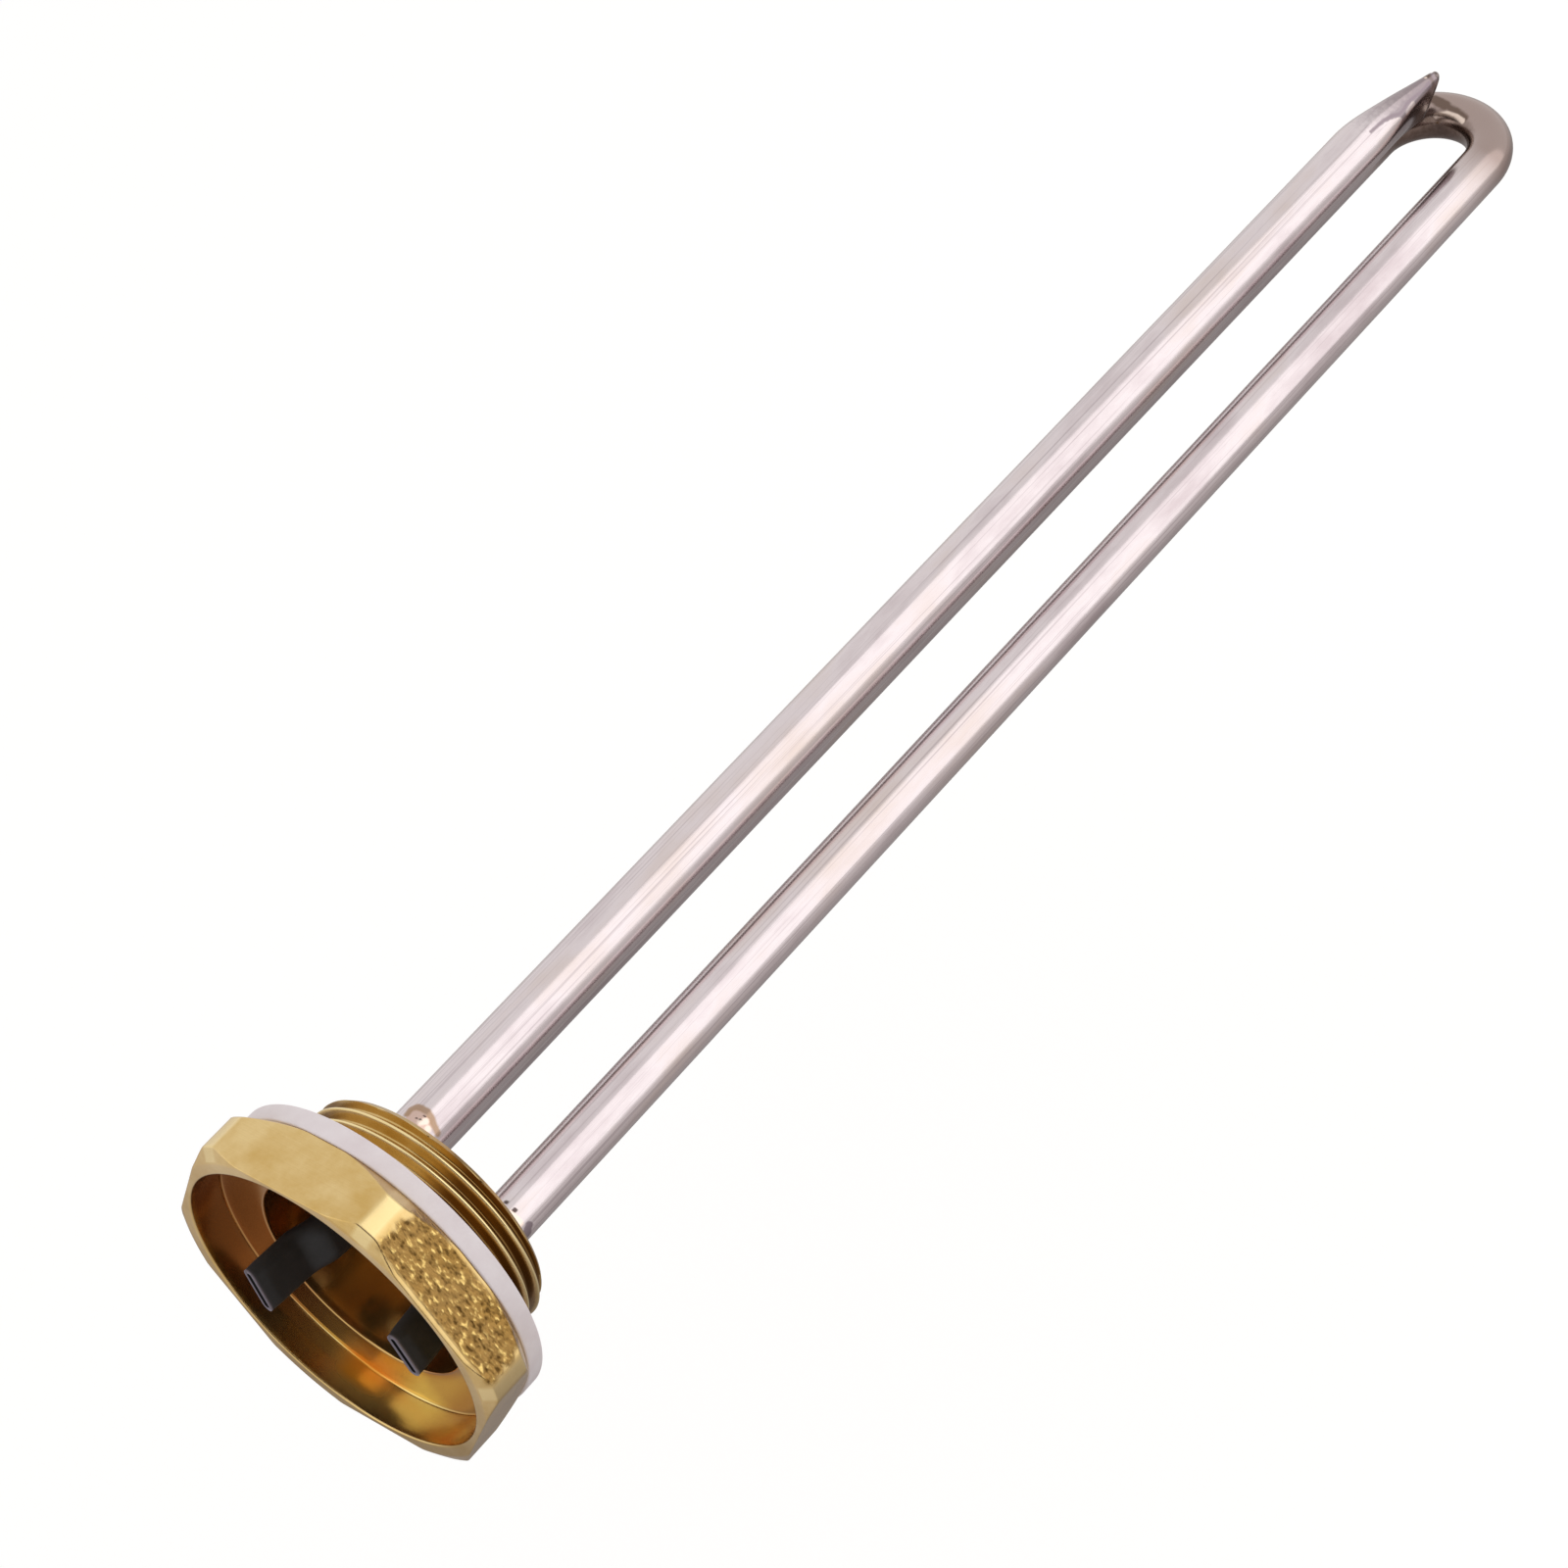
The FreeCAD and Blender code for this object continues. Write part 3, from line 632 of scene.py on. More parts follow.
def plugEnds(p, points):
    # The two flat faces and the walls of their three holes: points, faces and share of the cup's
    # own shades.
    turn = evenAngles(p["holeSteps"])
    holes = [np.stack([x + r * np.cos(turn), z + r * np.sin(turn)], -1) for x, z, r in p["tubeHoles"]]
    parts = []
    for rim, height, shade in ((points[0], p["floor"], 1.0), (points[-1], p["barrelEnd"], 0.0)):
        parts.append(flatWithHoles(rim[:, [0, 2]], holes, height, p) + (shade,))
    for hole in holes:
        wall = [np.stack([hole[:, 0], np.full(len(hole), height), hole[:, 1]], -1)
                for height in np.linspace(p["floor"], p["barrelEnd"], 4)]
        parts.append((np.concatenate(wall), gridFaces(4, len(hole)), 0.5))
    return parts


def makePlug(p):
    # The profile turned about the axis, with the beaten flat pushed in and a fine grain on every
    # side of the hexagon, and closed by the two flat faces.
    degrees, fromMiddle, land = plugColumns(p)
    angles = np.radians(degrees)
    profile, headRows = plugProfile(p, degrees, fromMiddle)
    points = turnedPoints(profile, angles)
    radius, y = profile[..., 0], profile[..., 1]
    row = np.arange(len(y))[:, None] + 0 * y
    onSide = (y > p["front"] + 0.1) & (y < p["back"] - 0.1) & (row < headRows)
    onSide = onSide & (radius > p["mouthRadius"] + 0.9)
    cast, push = beatenFlat(p, degrees, y, onSide)
    push = push + p["skinGrain"] * latticeNoise(degrees / 360 * 60, y * 0.4 + 20, 13, 60) * onSide
    way = np.where(cast > 0, math.radians(p["roughFlat"]), angles)
    points[..., 0] += push * np.cos(way)
    points[..., 2] += push * np.sin(way)

    shades = plugShades(p, degrees, np.abs(fromMiddle) - land, radius, y, onSide, row, headRows)
    values = {"castSkin": cast, **shades}
    ends = plugEnds(p, points)
    parts = [points.reshape(-1, 3)] + [part[0] for part in ends]
    starts = np.cumsum([0] + [len(part) for part in parts])
    faceSets = [faces + start for faces, start in zip(
        [gridFaces(*points.shape[:2])] + [part[1] for part in ends], starts)]
    for key in values:
        flatShare = {"boreShade": 1.0, "cupBrown": 0.55}.get(key, 0.0)
        flatValues = [np.full(len(part[0]), part[2] * flatShare) for part in ends]
        values[key] = np.concatenate([values[key].ravel()] + flatValues)
    return makePiece("brassPlug", np.concatenate(parts), faceSets, turnedBrass, "plug_body",
                     values, sharp=38)


print("stage: plug")
makePlug(plug)


# Gasket

gasket = {
    "inside": 21.2, "outside": 27.6, "back": -3.2, "face": 0.0, "edge": 0.35, "innerEdge": 0.2,
    "wave": 0.05, "waves": 14, "columns": 240,
}


def makeGasket(g):
    # A closed rectangle with rounded corners, turned about the axis, with a slight waviness.
    angles = evenAngles(g["columns"])
    middle = 0.5 * (g["back"] + g["face"])
    box = [(g["inside"], middle), (g["inside"], g["back"]), (g["outside"], g["back"]),
           (g["outside"], g["face"]), (g["inside"], g["face"]), (g["inside"], middle)]
    radii = [0, g["innerEdge"], g["edge"], g["edge"], g["innerEdge"], 0]
    profile = closedProfile(box, radii, [4, 10, 8, 10, 4], 6, g["columns"])
    wave = latticeNoise(angles / (2 * np.pi) * g["waves"], profile[..., 1] * 0 + 3, 21, g["waves"])
    profile[..., 0] -= g["wave"] * (1 + wave) * smoothStep(g["inside"], g["outside"], profile[..., 0])
    points = turnedPoints(profile, angles)
    return makePiece("paleGasket", points, ringFaces(points), plain["mouldedGasketRubber"],
                     "sealing_gasket")


print("stage: gasket")
makeGasket(gasket)


# Heating element

element = {
    "legX": 10.65, "height": -1.5, "start": 4.7, "bendY": 272.75, "radius": 4.0, "wall": 0.7,
    "around": 72, "rootReach": 12.0, "uneven": 0.003,
    # half width, soft edge and line of each stroke, by tone; on the bend, at y 280 to 282, the pale stroke
    # is a painted highlight and the dark ones are painted shade
    "strokes": {
        "pit": ((0.22, 0.25, [(11.2, 13.3, 2.5)]), (0.25, 0.25, [(12.8, 13.1, 1.9)]),
                (0.1, 0.2, [(8.2, 14.1, 1.7)]), (0.12, 0.2, [(13.4, 118.0, 1.2)]),
                (0.12, 0.2, [(12.9, 203.0, 1.6)])),
        "violet": ((0.5, 0.5, [(14.6, 12.6, -1.8), (14.6, 12.7, -1.1), (14.6, 13.2, -0.8)]),),
        "flux_and_highlight": ((0.3, 0.6, [(12.6, 12.2, 2.0), (13.5, 12.2, 1.3), (14.1, 12.3, 0.5)]),
                 (0.2, 0.6, [(-2.3, 279.8, 0.9), (-0.6, 280.5, 1.3), (1.3, 280.5, 1.3),
                             (3.0, 280.0, 1.2)])),
        "burn": ((0.4, 1.1, [(-4.0, 282.0, 2.4), (-1.5, 281.6, 2.1)]),
                 (0.0, 1.2, [(-1.5, 281.6, 2.1), (1.2, 281.2, 1.9), (3.4, 280.4, 1.6)])),
    },
    # painted shade on the side of the bend that faces its middle: its share, and where it starts along Y
    "bendShade": 0.7, "bendShadeStart": (262.0, 274.0),
}


def hairpinRows(e, radius, rootRows=50, legRows=60, bendRows=64, uneven=0.0):
    # A circle carried up one leg, round a half turn and down the other leg. The rows stand closer
    # by the root, where the stains are.
    y = e["start"] + np.concatenate([np.linspace(0, e["rootReach"], rootRows, endpoint=False),
                                     np.linspace(e["rootReach"], e["bendY"] - e["start"], legRows)])
    rows = len(y)
    turn = np.linspace(0, np.pi, bendRows + 2)[1:-1]
    centre = np.concatenate([
        np.stack([np.full(rows, -e["legX"]), y], -1),
        np.stack([-e["legX"] * np.cos(turn), e["bendY"] + e["legX"] * np.sin(turn)], -1),
        np.stack([np.full(rows, e["legX"]), y[::-1]], -1)])
    side = np.concatenate([np.tile([-1.0, 0.0], (rows, 1)), np.stack([-np.cos(turn), np.sin(turn)], -1),
                           np.tile([1.0, 0.0], (rows, 1))])
    around = evenAngles(e["around"])
    step = np.concatenate([[0], np.cumsum(np.linalg.norm(np.diff(centre, axis=0), axis=1))])
    bumps = latticeNoise(around[None] / (2 * np.pi) * 6, step[:, None] / 16 + 5, 31, 6)
    size = radius * (1 + uneven * (bumps - 1))
    return np.stack([centre[:, None, 0] + size * np.cos(around) * side[:, None, 0],
                     centre[:, None, 1] + size * np.cos(around) * side[:, None, 1],
                     e["height"] + size * np.sin(around)], -1)


def makeSheath(e):
    # the outer wall up and the inner wall back, closed at both ends into one long ring of rows
    points = np.concatenate([hairpinRows(e, e["radius"], bendRows=96, uneven=e["uneven"]),
                             hairpinRows(e, e["radius"] - e["wall"], rootRows=3)[::-1]])
    values = strokeValues(points, e["strokes"])
    # painted shade on the side of the bend that faces its middle, laid into the dark strokes
    away = np.hypot(points[..., 0], np.maximum(points[..., 1] - e["bendY"], 0))
    inward = smoothStep(0.3, 0.9, (e["legX"] - away) / e["radius"])
    bendShade = e["bendShade"] * inward * smoothStep(*e["bendShadeStart"], points[..., 1])
    values["strokeBurn"] = np.maximum(values["strokeBurn"], bendShade)
    return makePiece("elementSheath", points, ringFaces(points), drawnSteel,
                     "element_sheath", values)


print("stage: element")
makeSheath(element)


# Thermowell

well = {
    "x": -3.5, "z": 9.25, "radius": 4.25, "wall": 0.6, "start": 4.7, "end": 276.1, "pinchLength": 19.5,
    "pinchAngle": 67.0, "pinchOffset": 2.75, "bite": 1.6, "fullness": 0.94, "tipHalf": 0.95,
    "closed": 2.4, "around": 96, "rootReach": 12.0, "uneven": 0.003,
    # the lilac tone on the pinched end, partly heat tint and partly painted shade, cuts off the highlight at
    # a curve, y = top - bow * away^2 from the highlight's middle, and comes in slowly beside it
    "tintShadeTop": 265.6, "tintShadeBow": 1.4, "highlightMiddle": (0.7, 11.2), "tintShadeSide": (1.0, 2.4),
    "tintShadeSlow": (251.0, 271.0), "tintShadeBeside": 0.75,
    # a gap in the lilac tone, which leaves a painted highlight, and how much of the tone it takes away
    "highlightGap": ((0.35, 0.5, [(1.0, 267.4, 11.4), (1.05, 268.9, 12.0)]),), "gapShare": 0.8,
    "strokes": {
        "straw": ((0.1, 0.85, [(-4.0, 12.9, 13.5), (-4.1, 13.9, 13.5), (-3.6, 14.6, 13.5),
                              (-2.8, 14.8, 13.4), (-1.9, 14.9, 13.2), (-1.1, 14.6, 12.7),
                              (-0.5, 14.2, 12.2), (0.0, 13.9, 11.6), (0.4, 13.7, 10.9)]),),
        "blush": ((0.9, 0.7, [(-2.9, 13.3, 13.4), (-1.0, 13.1, 12.8)]),),
        "flux_and_highlight": ((0.2, 0.6, [(-1.6, 13.0, 13.0), (-1.2, 13.6, 12.8)]), (0.2, 0.6, [(-0.4, 13.0, 12.2)]),
                 (0.1, 0.3, [(0.5, 274.1, 13.8)])),
        "pit": ((0.1, 0.2, [(-1.7, 14.1, 13.1)]), (0.12, 0.2, [(-1.8, 13.3, 13.1)]),
                (0.1, 0.2, [(-2.3, 13.1, 13.3)]), (0.1, 0.2, [(-2.0, 187.0, 13.2)]),
                (0.1, 0.2, [(-1.2, 122.0, 12.8)])),
        "burn": ((0.2, 0.8, [(0.3, 274.7, 13.8), (1.2, 274.5, 12.8), (1.2, 274.7, 11.0)]),),
        # the violet lines along the pinch are partly its seam and partly painted shade round the highlight's
        # end
        "violet": ((0.0, 0.6, [(-0.9, 259.0, 12.7), (-0.6, 262.2, 12.75), (-0.2, 264.0, 12.6),
                               (0.5, 265.7, 12.1), (0.6, 266.9, 12.3), (0.55, 268.0, 12.7),
                               (0.8, 269.7, 12.8), (1.2, 271.5, 12.85), (1.4, 273.8, 13.3)]),
                   (0.1, 0.8, [(1.6, 273.3, 12.5), (1.2, 274.1, 10.8), (0.7, 274.0, 9.6)])),
    },
}


def arcThrough(a, b, c, t):
    # Points at share t along the circular arc from a through b to c; all are (row, 2) arrays.
    ab, cb = a - b, c - b
    cross = ab[:, 0] * cb[:, 1] - ab[:, 1] * cb[:, 0]
    cross = np.where(np.abs(cross) < 1e-6, 1e-6, cross)
    sa, sc = (ab ** 2).sum(1), (cb ** 2).sum(1)
    shift = np.stack([sa * cb[:, 1] - sc * ab[:, 1], sc * ab[:, 0] - sa * cb[:, 0]], -1)
    centre = b + shift / (2 * cross[:, None])
    first = np.arctan2(a[:, 1] - centre[:, 1], a[:, 0] - centre[:, 0])
    last = np.arctan2(c[:, 1] - centre[:, 1], c[:, 0] - centre[:, 0])
    sweep = (last - first + np.pi) % (2 * np.pi) - np.pi
    size = np.linalg.norm(a - centre, axis=1)
    angle = first[:, None] + sweep[:, None] * t[None]
    return centre[:, None] + size[:, None, None] * np.stack([np.cos(angle), np.sin(angle)], -1)


def wellSections(w, y, flatness, radius, tipHalf):
    # Four arcs, from a circle at flatness 0 to a flat oval at 1 whose girth stays the tube's.
    endWidth = tipHalf + math.pi / 2 * (radius - tipHalf)
    thick = radius + (tipHalf - radius) * flatness
    wide = radius + (endWidth - radius) * flatness
    corner = radius / math.sqrt(2)
    cornerWide = corner + (endWidth - tipHalf - corner) * flatness
    cornerThick = corner + (w["fullness"] * tipHalf - corner) * flatness
    zero = 0 * flatness
    t = np.arange(w["around"] // 4) / (w["around"] // 4)
    spots = [np.stack(spot, -1) for spot in (
        (cornerWide, -cornerThick), (wide, zero), (cornerWide, cornerThick), (zero, thick),
        (-cornerWide, cornerThick), (-wide, zero), (-cornerWide, -cornerThick), (zero, -thick))]
    arcs = [arcThrough(spots[k], spots[k + 1], spots[(k + 2) % 8], t) for k in (0, 2, 4, 6)]
    outline = np.concatenate(arcs, 1)
    # the press pushes the flat off the tube's axis as it bites
    across, out = outline[..., 0], outline[..., 1] + w["pinchOffset"] * flatness[:, None]
    turn = math.radians(w["pinchAngle"])
    return np.stack([w["x"] + across * math.cos(turn) + out * math.sin(turn), y[:, None] + 0 * across,
                     w["z"] + across * math.sin(turn) - out * math.cos(turn)], -1)


def wellRows(w, radius, end, tipHalf, rootRows=3, straightRows=60, pinchRows=60):
    # the flatness follows share^2 (bite - (bite - 1) share) over the pinched length
    start, root = w["end"] - w["pinchLength"], w["start"] + w["rootReach"]
    y = np.concatenate([np.linspace(w["start"], root, rootRows, endpoint=False),
                        np.linspace(root, start, straightRows),
                        start + (end - start) * np.linspace(0, 1, pinchRows + 1)[1:]])
    share = np.clip((y - start) / (end - start), 0, 1)
    return wellSections(w, y, share * share * (w["bite"] - (w["bite"] - 1) * share), radius, tipHalf)


def makeWell(w):
    # The outer wall, the inner wall and the ring between them at the open mouth, and a fan of
    # triangles inside each pinched end.
    outer = wellRows(w, w["radius"], w["end"], w["tipHalf"], rootRows=50, pinchRows=150)
    around = np.arange(w["around"])
    bumps = latticeNoise(around[None] / w["around"] * 6, outer[:, :, 1] / 15 + 9, 41, 6)
    offset = (outer - np.array([w["x"], 0, w["z"]])) * np.array([1.0, 0, 1.0])
    outer = outer + offset * (w["uneven"] * (bumps - 1))[..., None]
    inner = wellRows(w, w["radius"] - w["wall"], w["end"] - w["closed"], w["tipHalf"] - w["wall"])
    count, rows = outer.size // 3, len(inner)
    points = np.concatenate([outer.reshape(-1, 3), inner.reshape(-1, 3), outer[-1].mean(0)[None],
                             inner[-1].mean(0)[None]])
    after = (around + 1) % w["around"]
    mouth = np.stack([around, after, after + count, around + count], -1)
    quads = np.concatenate([gridFaces(len(outer), w["around"]),
                            gridFaces(rows, w["around"], start=count), mouth])
    fans = np.concatenate([poleFaces(count - w["around"], w["around"], len(points) - 2),
                           poleFaces(count + (rows - 1) * w["around"], w["around"], len(points) - 1)])
    values = strokeValues(points, w["strokes"])
    # painted shade: the lilac tone, partly heat tint, is cut round the highlight's middle, and its gap is a
    # painted highlight
    away = np.hypot(points[:, 0] - w["highlightMiddle"][0], points[:, 2] - w["highlightMiddle"][1])
    beside = smoothStep(*w["tintShadeSide"], away)
    film = smoothStep(-0.3, 0.5, points[:, 1] - w["tintShadeTop"] + w["tintShadeBow"] * away ** 2)
    slow = w["tintShadeBeside"] * smoothStep(*w["tintShadeSlow"], points[:, 1])
    film = film * (1 - beside) + slow * beside
    values["strokeLilac"] = film * (1 - w["gapShare"] * strokeShare(points, w["highlightGap"]))
    return makePiece("thermowellTube", points, [quads, fans], drawnSteel,
                     "thermowell_tube", values, weld=False)


tipBead = {
    "radius": 1.12, "ripple": 0.13, "rippleStep": 1.1, "sink": 0.25, "inset": 0.1, "around": 32,
}


def makeTipBead(b, w):
    # A long rounded bead: its cross section is a circle whose size follows (1 - u^4)^(1/4) along
    # the pinched edge, with ripples left by the melt.
    half = w["tipHalf"] + math.pi / 2 * (w["radius"] - w["tipHalf"]) - b["inset"]
    u = np.sin(np.linspace(-np.pi / 2, np.pi / 2, 60))[1:-1]
    around = evenAngles(b["around"])
    along = u * half
    bumps = latticeNoise(along[:, None] / b["rippleStep"] + 9, around[None] / np.pi * 3, 51)
    bumps = bumps * np.sin(around / 2) ** 2
    size = b["radius"] * ((1 - u ** 4) ** 0.25)[:, None] * (1 - b["ripple"] * (0.6 + 0.6 * bumps))
    turn = math.radians(w["pinchAngle"])
    wideWay = np.array([math.cos(turn), 0.0, math.sin(turn)])
    thinWay = np.array([math.sin(turn), 0.0, -math.cos(turn)])
    centre = np.array([w["x"], w["end"] - b["sink"], w["z"]]) + w["pinchOffset"] * thinWay
    points = (centre + along[:, None, None] * wideWay + (size * np.cos(around))[..., None] * thinWay
              + (size * np.sin(around))[..., None] * np.array([0.0, 1.0, 0.0]))
    ends = np.stack([centre - half * wideWay, centre + half * wideWay])
    rows = len(points)
    fans = np.concatenate([poleFaces(0, b["around"], rows * b["around"]),
                           poleFaces((rows - 1) * b["around"], b["around"], rows * b["around"] + 1)])
    return makePiece("pinchedTipBead", np.concatenate([points.reshape(-1, 3), ends]),
                     [gridFaces(rows, b["around"]), fans], plain["heatTintedWeldBead"],
                     "thermowell_tip_weld", weld=False)


print("stage: thermowell")
makeWell(well)
makeTipBead(tipBead, well)


# Braze

braze = {
    "leg": 1.3, "hollow": 0.33, "gap": 0.02, "uneven": 0.28, "edge": 0.12, "hollowRound": 0.7,
    "face": 9.2, "columns": 120,
}


def makeBraze(name, node, x, z, radius, seed, b):
    # A ring in the corner between tube and plug: its foot, its hollow face and its top swell and
    # shrink round the tube as the metal ran.
    angles = evenAngles(b["columns"])
    swells = []
    for count, row in ((9, 3.3), (7, 8.1)):
        noise = latticeNoise(angles / (2 * np.pi) * count, 0 * angles + row, seed, count)
        swells.append(np.minimum(1 + b["uneven"] * (noise - 0.4), 1.0))
    foot, top = b["leg"] * swells[0], b["leg"] * swells[1]
    inside = radius + b["gap"]
    hollow = 0.5 * (foot + top) * b["hollow"]
    outline = [(inside, b["face"]), (inside + foot, b["face"]), (inside + hollow, b["face"] + hollow),
               (inside, b["face"] + top), (inside, b["face"])]
    radii = [0, b["edge"], b["hollowRound"], b["edge"], 0]
    profile = closedProfile(outline, radii, [3, 3, 3, 3], 6, b["columns"])
    points = turnedPoints(profile, angles, x, z)
    return makePiece(name, points, ringFaces(points), plain["fluxStainedSilverBraze"], node,
                     sharp=60)


print("stage: braze")
makeBraze("wellBraze", "braze_fillet_thermowell", well["x"], well["z"], well["radius"], 61, braze)
for number, side in ((1, -1), (2, 1)):
    makeBraze("legBraze%d" % number, "braze_fillet_leg_%d" % number, side * element["legX"],
              element["height"], element["radius"], 61 + 2 * number, braze)


# Terminals

terminal = {
    "splay": 5.0, "bendRadius": 8.0, "bendOffsets": (2.3, 0.5), "leans": (12.0, 16.0), "collarEnd": 3.2,
    "legX": 10.65, "height": -1.5, "pinDiameter": 2.5, "bladeThickness": 0.8, "bladeWidth": 6.3,
    "shankWidth": 2.8, "bladeStart": 6.6, "pinEnd": 4.0, "sleeveStart": -0.8, "sleeveEnd": 15.4,
    "wall": 0.65, "edgeRoom": 0.3, "faceRoom": 0.45, "rootRoom": 0.2, "pinchStart": 13.2,
    "mouthPinch": (0.75, 1.05), "lipRound": 0.22, "lipStart": 0.35, "lipFull": 0.1, "sag": 0.05,
    "columns": 96,
}


def terminalAxes(number, t):
    # Where one terminal starts and its three directions: along it, across the blade, and out.
    side = -1.0 if number == 1 else 1.0
    splay, lean = math.radians(t["splay"]), math.radians(t["leans"][number - 1])
    startY = t["collarEnd"] - t["bendOffsets"][number - 1]
    origin = np.array([side * (t["legX"] + t["bendRadius"] * (1 - math.cos(splay))),
                       startY - t["bendRadius"] * math.sin(splay), t["height"]])
    along = np.array([side * math.sin(splay), -math.cos(splay), 0.0])
    outward = np.array([side * math.cos(splay), math.sin(splay), 0.0])
    up = np.array([0.0, 0.0, 1.0])
    turn = side * lean
    return (origin, along, up * math.cos(turn) - outward * math.sin(turn),
            outward * math.cos(turn) + up * math.sin(turn))


def slotOutline(width, thickness, count):
    # Outline of a slot, (row, point): two straight sides joined by half circles.
    quarter = count // 4
    side = np.linspace(-1, 1, quarter, endpoint=False)
    turn = np.linspace(-np.pi / 2, np.pi / 2, quarter, endpoint=False)
    half = thickness[:, None] / 2
    flat = width[:, None] / 2 - half
    across = [flat * side, flat + half * np.cos(turn), -flat * side, -flat - half * np.cos(turn)]
    out = [-half + 0 * side, half * np.sin(turn), half + 0 * side, -half * np.sin(turn)]
    return np.concatenate(across, 1), np.concatenate([row + 0 * flat for row in out], 1)


def makeSleeve(number, t):
    # A slot carried along the terminal: round over the pin, flat over the blade, and pinched in
    # where it stands open. Its lips run over a half circle from the outer wall to the inner one.
    origin, along, across, out = terminalAxes(number, t)
    bounds = [t["sleeveStart"], t["pinEnd"], t["bladeStart"], t["sleeveEnd"]]
    stretches = zip(bounds[:-1], bounds[1:], (14, 14, 30))
    length = np.concatenate([[bounds[0]]] + [np.linspace(low, high, count)[1:]
                                             for low, high, count in stretches])
    lip = np.linspace(0, np.pi, 9)[1:-1]
    inside = np.full(len(length), -1.0)
    grow = np.concatenate([-inside, np.cos(lip), inside, np.cos(lip)[::-1]])
    place = np.concatenate([length, t["sleeveEnd"] - t["lipRound"] * np.sin(lip), length[::-1],
                            t["sleeveStart"] + t["lipRound"] * np.sin(lip)])
    share = smoothStep(t["pinEnd"] - 1.0, t["bladeStart"] + 1.0, place)
    pinch = smoothStep(t["pinchStart"], t["sleeveEnd"], place)
    rootThick = t["pinDiameter"] + t["bladeThickness"] + 2 * t["rootRoom"]
    mouthThick = t["bladeThickness"] + 2 * t["faceRoom"]
    thickness = rootThick + (mouthThick - rootThick) * share - t["mouthPinch"][number - 1] * pinch
    width = (rootThick + t["shankWidth"]) * (1 - share) + (t["bladeWidth"] + 2 * t["edgeRoom"]) * share
    shift = t["bladeThickness"] / 2 * (1 - share) + (t["pinDiameter"] + t["bladeThickness"]) / 2 * share
    wall = t["wall"] * (1 + grow)
    a, o = slotOutline(width + wall, thickness + wall, t["columns"])
    rows = np.arange(len(a))[:, None] + 0 * a
    columns = np.arange(t["columns"])[None] + 0 * a
    sag = latticeNoise(rows / len(a) * 5, columns / t["columns"] * 8, 71 + number)
    o = o + shift[:, None] + t["sag"] * sag * np.sin(np.pi * columns / t["columns"]) ** 2
    points = origin + along * place[:, None, None] + across * a[..., None] + out * o[..., None]
    # the lip is pale near the open end, but for the inner wall
    pale = smoothStep(t["sleeveEnd"] - t["lipStart"], t["sleeveEnd"] - t["lipFull"], place)
    pale = (pale * (grow > -0.95))[:, None] + 0 * a
    return makePiece("terminalSleeve%d" % number, points, ringFaces(points), plain["blackShrinkSleeve"],
                     "terminal_sleeve_%d" % number, {"lip": pale}, sharp=70)


bead = {
    "collar": 3.8, "spigot": 3.28, "hole": 1.27, "start": 3.2, "step": 4.7, "end": 6.7, "seam": 5.0,
    "columns": 96,
}


def makeBead(number, b, t):
    # A stepped outline with rounded corners, turned about the leg's axis. It starts and ends at the
    # seam, halfway along the hole.
    outline = [(b["hole"], b["seam"]), (b["hole"], b["start"]), (b["collar"], b["start"]),
               (b["collar"], b["step"]), (b["spigot"], b["step"]), (b["spigot"], b["end"]),
               (b["hole"], b["end"]), (b["hole"], b["seam"])]
    profile = closedProfile(outline, [0, 0.25, 0.35, 0.12, 0.05, 0.1, 0.1, 0], [3, 4, 2, 1, 2, 3, 3], 5,
                            b["columns"])
    side = -1 if number == 1 else 1
    points = turnedPoints(profile, evenAngles(b["columns"]), side * t["legX"], t["height"])
    return makePiece("steatiteBead%d" % number, points, ringFaces(points), plain["firedSteatite"],
                     "ceramic_bushing_%d" % number)


print("stage: terminals")
for number in (1, 2):
    makeSleeve(number, terminal)
    makeBead(number, bead, terminal)


# Studio

studio = {
    "floorHeight": -0.150, "floorSize": 6.0, "floorColour": "#B4B2B0", "floorLift": 0.63, "worldGlow": 0.75,
    "cardHeight": -0.032, "cardX": (-0.36, 0.22), "cardY": (-0.55, 0.75), "cardMiddle": -0.012,
    "cardReach": 0.16, "cardFront": (-0.008, -0.065), "cardBack": (0.30, 0.46),
    # where the card's painted shadow starts to widen under the plug, where it is widest, and by how much
    "plugShade": (0.03, 0.0, -0.035),
    # share of the way from the card's middle line to its pale part, and the colour there
    "cardTones": ((0.0, "#959090"), (0.16, "#A8A3A2"), (0.29, "#BDB8B7"), (0.5, "#D9D5D4"),
                  (1.0, "#E8E5E4")),
    # how far off the flag stands and how steeply it is seen, and its reach across and along
    "flagAway": 0.8, "flagTurn": 40.0, "flagAcross": (-0.85, 1.1), "flagY": (-0.75, -0.12),
    "flagColour": "#574442",
    # name, place, width, height in metres and watts
    "lamps": (("keySoftBox", (0.86, 0.76, 0.70), 1.35, 1.8, 4.3),
              ("frontSoftBox", (-0.75, -0.95, 0.55), 0.7, 0.7, 0.9)),
    "lampAim": (0.0, 0.14, 0.0), "cameraPlace": (0.34951, -0.20729, 0.45390),
    "cameraAim": (0.01728, 0.07890, 0.02986), "cameraRoll": -15.66, "lens": 97.838,
}


def backgroundRays(tree):
    # 1 for what the camera, metal and glass see, and 0 for light on the object
    rays = addNode(tree, "ShaderNodeLightPath").node.outputs
    seen = addNode(tree, "ShaderNodeMath", {0: rays["Is Camera Ray"], 1: rays["Is Glossy Ray"]},
                   operation="MAXIMUM")
    return addNode(tree, "ShaderNodeMath", {0: seen, 1: rays["Is Transmission Ray"]}, operation="MAXIMUM")


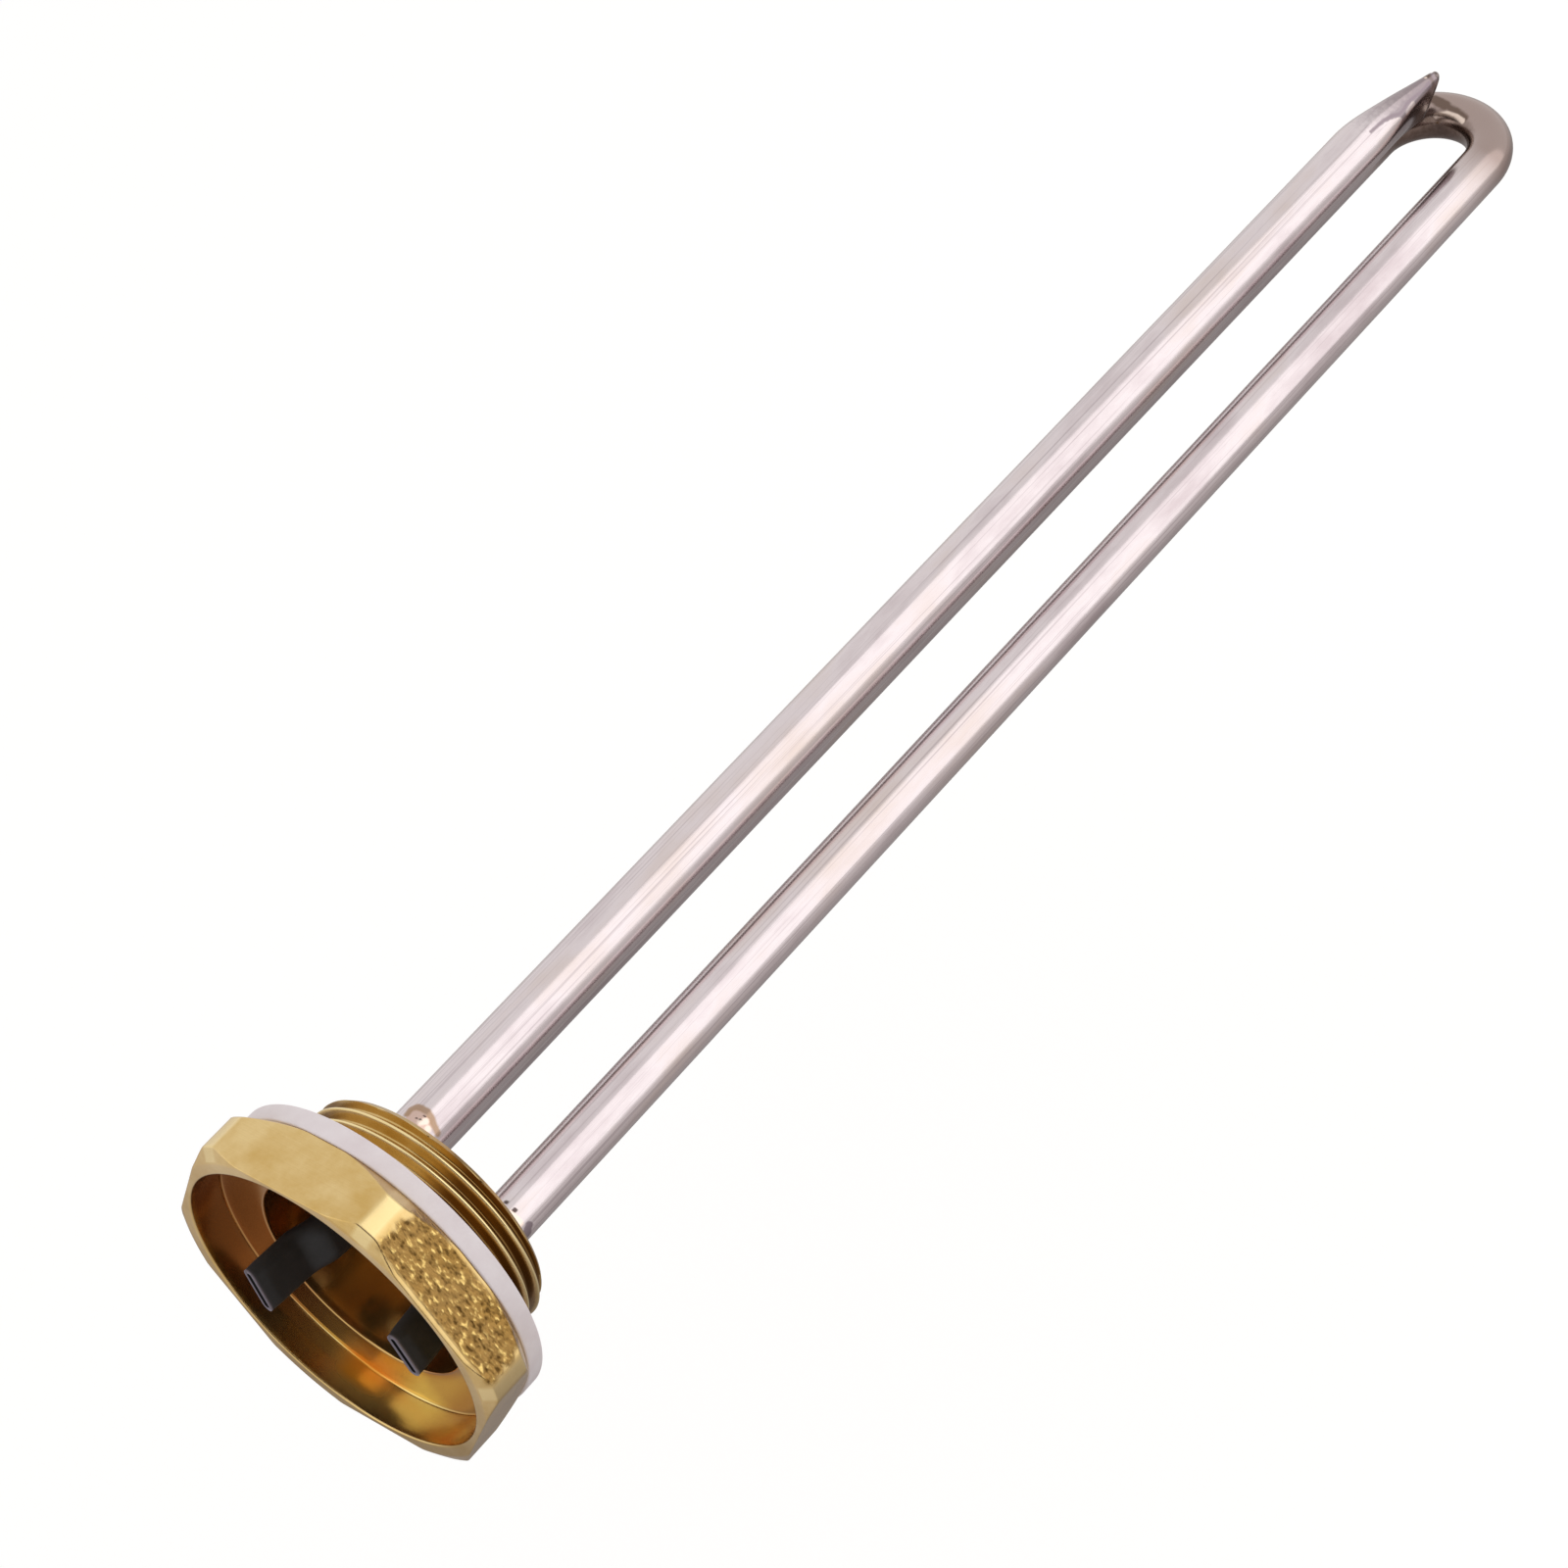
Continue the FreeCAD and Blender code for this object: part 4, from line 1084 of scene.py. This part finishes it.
def makeSheet(name, corners, paint, liftBy=None):
    # A flat sheet of the studio. paint adds the nodes of its colour, or is the colour. The sheet is
    # lifted towards white where it is only looked at, or, with no lift, it glows and is seen only in
    # metal, as a painted reflection.
    mesh = bpy.data.meshes.new(name)
    mesh.from_pydata(corners, [], [(0, 1, 2, 3)])
    sheet = bpy.data.objects.new(name, mesh)
    bpy.context.scene.collection.objects.link(sheet)
    material = bpy.data.materials.new(name + "Paint")
    material.use_nodes = True
    tree = material.node_tree
    tree.nodes.clear()
    colour = paint if isinstance(paint, str) else paint(tree)
    if liftBy is None:
        sheet.visible_camera = sheet.visible_diffuse = sheet.visible_shadow = False
        surface = addNode(tree, "ShaderNodeEmission", {"Color": colour, "Strength": 1.0})
    else:
        lift = addNode(tree, "ShaderNodeMath", {0: backgroundRays(tree), 1: liftBy}, operation="MULTIPLY")
        surface = addNode(tree, "ShaderNodeAddShader", {
            0: addNode(tree, "ShaderNodeBsdfDiffuse", {"Color": colour}),
            1: addNode(tree, "ShaderNodeEmission", {"Color": "#FFFFFF", "Strength": lift})})
    addNode(tree, "ShaderNodeOutputMaterial", {"Surface": surface})
    mesh.materials.append(material)
    return sheet


def makeSheets(s):
    # A floor that goes white to the camera and in reflections, and keeps a soft shadow. Two sheets
    # glow and are seen only in metal, as painted reflections: a card right under the heater, with a
    # painted shadow along its middle, as a table is in the shade of what lies on it, and a dark flag
    # behind the camera, which the cup looks into.
    half = s["floorSize"] / 2

    def levelCorners(xs, ys, height):
        return [(x, y, height) for x, y in zip((xs[0], xs[1], xs[1], xs[0]), (ys[0], ys[0], ys[1], ys[1]))]

    def paintCard(tree):
        # the distance from the middle line, or past the ends, picks the tone
        place = addNode(tree, "ShaderNodeTexCoord", out="Object")
        along = addNode(tree, "ShaderNodeSeparateXYZ", {"Vector": place}, out="Y")
        across = addNode(tree, "ShaderNodeSeparateXYZ", {"Vector": place}, out="X")
        across = addNode(tree, "ShaderNodeMath", {0: across, 1: s["cardMiddle"]}, operation="SUBTRACT")
        across = addNode(tree, "ShaderNodeMath", {0: across}, operation="ABSOLUTE")
        # the painted shadow is wider under the plug
        start, end, wider = s["plugShade"]
        wider = addNode(tree, "ShaderNodeMapRange", {
            "Value": along, "From Min": start, "From Max": end, "To Max": wider})
        across = addNode(tree, "ShaderNodeMath", {0: across, 1: wider}, operation="ADD")
        share = 0.0
        for value, (start, end) in ((across, (0.0, s["cardReach"])), (along, s["cardFront"]),
                                    (along, s["cardBack"])):
            part = addNode(tree, "ShaderNodeMapRange", {
                "Value": value, "From Min": start, "From Max": end})
            share = addNode(tree, "ShaderNodeMath", {0: share, 1: part}, operation="MAXIMUM")
        return addNode(tree, "ShaderNodeValToRGB", {"Fac": share}, stops=s["cardTones"])

    makeSheet("studioFloor", levelCorners((-half, half), (-half, half), s["floorHeight"]),
              s["floorColour"], s["floorLift"])
    makeSheet("tableCard", levelCorners(s["cardX"], s["cardY"], s["cardHeight"]), paintCard)
    # the flag stands square to a slope in the XZ plane
    slope = math.radians(s["flagTurn"])
    out = np.array([math.cos(slope), 0, math.sin(slope)])
    up = np.array([-math.sin(slope), 0, math.cos(slope)])
    (low, high), (near, far) = s["flagAcross"], s["flagY"]
    spots = ((low, near), (low, far), (high, far), (high, near))
    makeSheet("darkFlag", [s["flagAway"] * out + across * up + (0, y, 0) for across, y in spots],
              s["flagColour"])


def lightRoom(s):
    # A white room, and its lamps: a large soft box over the tubes from the right, and a small one
    # at the front left.
    world = bpy.data.worlds.new("softRoom")
    bpy.context.scene.world = world
    world.use_nodes = True
    tree = world.node_tree
    tree.nodes.clear()
    strength = addNode(tree, "ShaderNodeMath", {
        0: backgroundRays(tree), 1: 1.0 - s["worldGlow"], 2: s["worldGlow"]}, operation="MULTIPLY_ADD")
    room = addNode(tree, "ShaderNodeBackground", {"Color": "#FFFFFF", "Strength": strength})
    addNode(tree, "ShaderNodeOutputWorld", {"Surface": room})

    for name, place, width, height, power in s["lamps"]:
        light = bpy.data.lights.new(name, "AREA")
        light.shape = "RECTANGLE"
        light.size = width
        light.size_y = height
        light.energy = power
        lamp = bpy.data.objects.new(name, light)
        bpy.context.scene.collection.objects.link(lamp)
        lamp.location = place
        lamp.rotation_mode = "QUATERNION"
        lamp.rotation_quaternion = (Vector(s["lampAim"]) - Vector(place)).to_track_quat("-Z", "Y")


def makeCamera(s):
    # The camera stands at the place that was fitted to the photo.
    camera = bpy.data.cameras.new("photoCamera")
    camera.lens = s["lens"]
    camera.sensor_width = 36.0
    camera.clip_start = 0.01
    camera.clip_end = 20.0
    viewer = bpy.data.objects.new("photoCamera", camera)
    bpy.context.scene.collection.objects.link(viewer)
    place = Vector(s["cameraPlace"])
    viewer.location = place
    viewer.rotation_mode = "QUATERNION"
    roll = Quaternion((0, 0, 1), math.radians(s["cameraRoll"]))
    viewer.rotation_quaternion = (Vector(s["cameraAim"]) - place).to_track_quat("-Z", "Y") @ roll
    bpy.context.scene.camera = viewer
    bpy.context.scene.view_settings.view_transform = "Standard"


print("stage: studio")
makeSheets(studio)
lightRoom(studio)
makeCamera(studio)

print("stage: done")
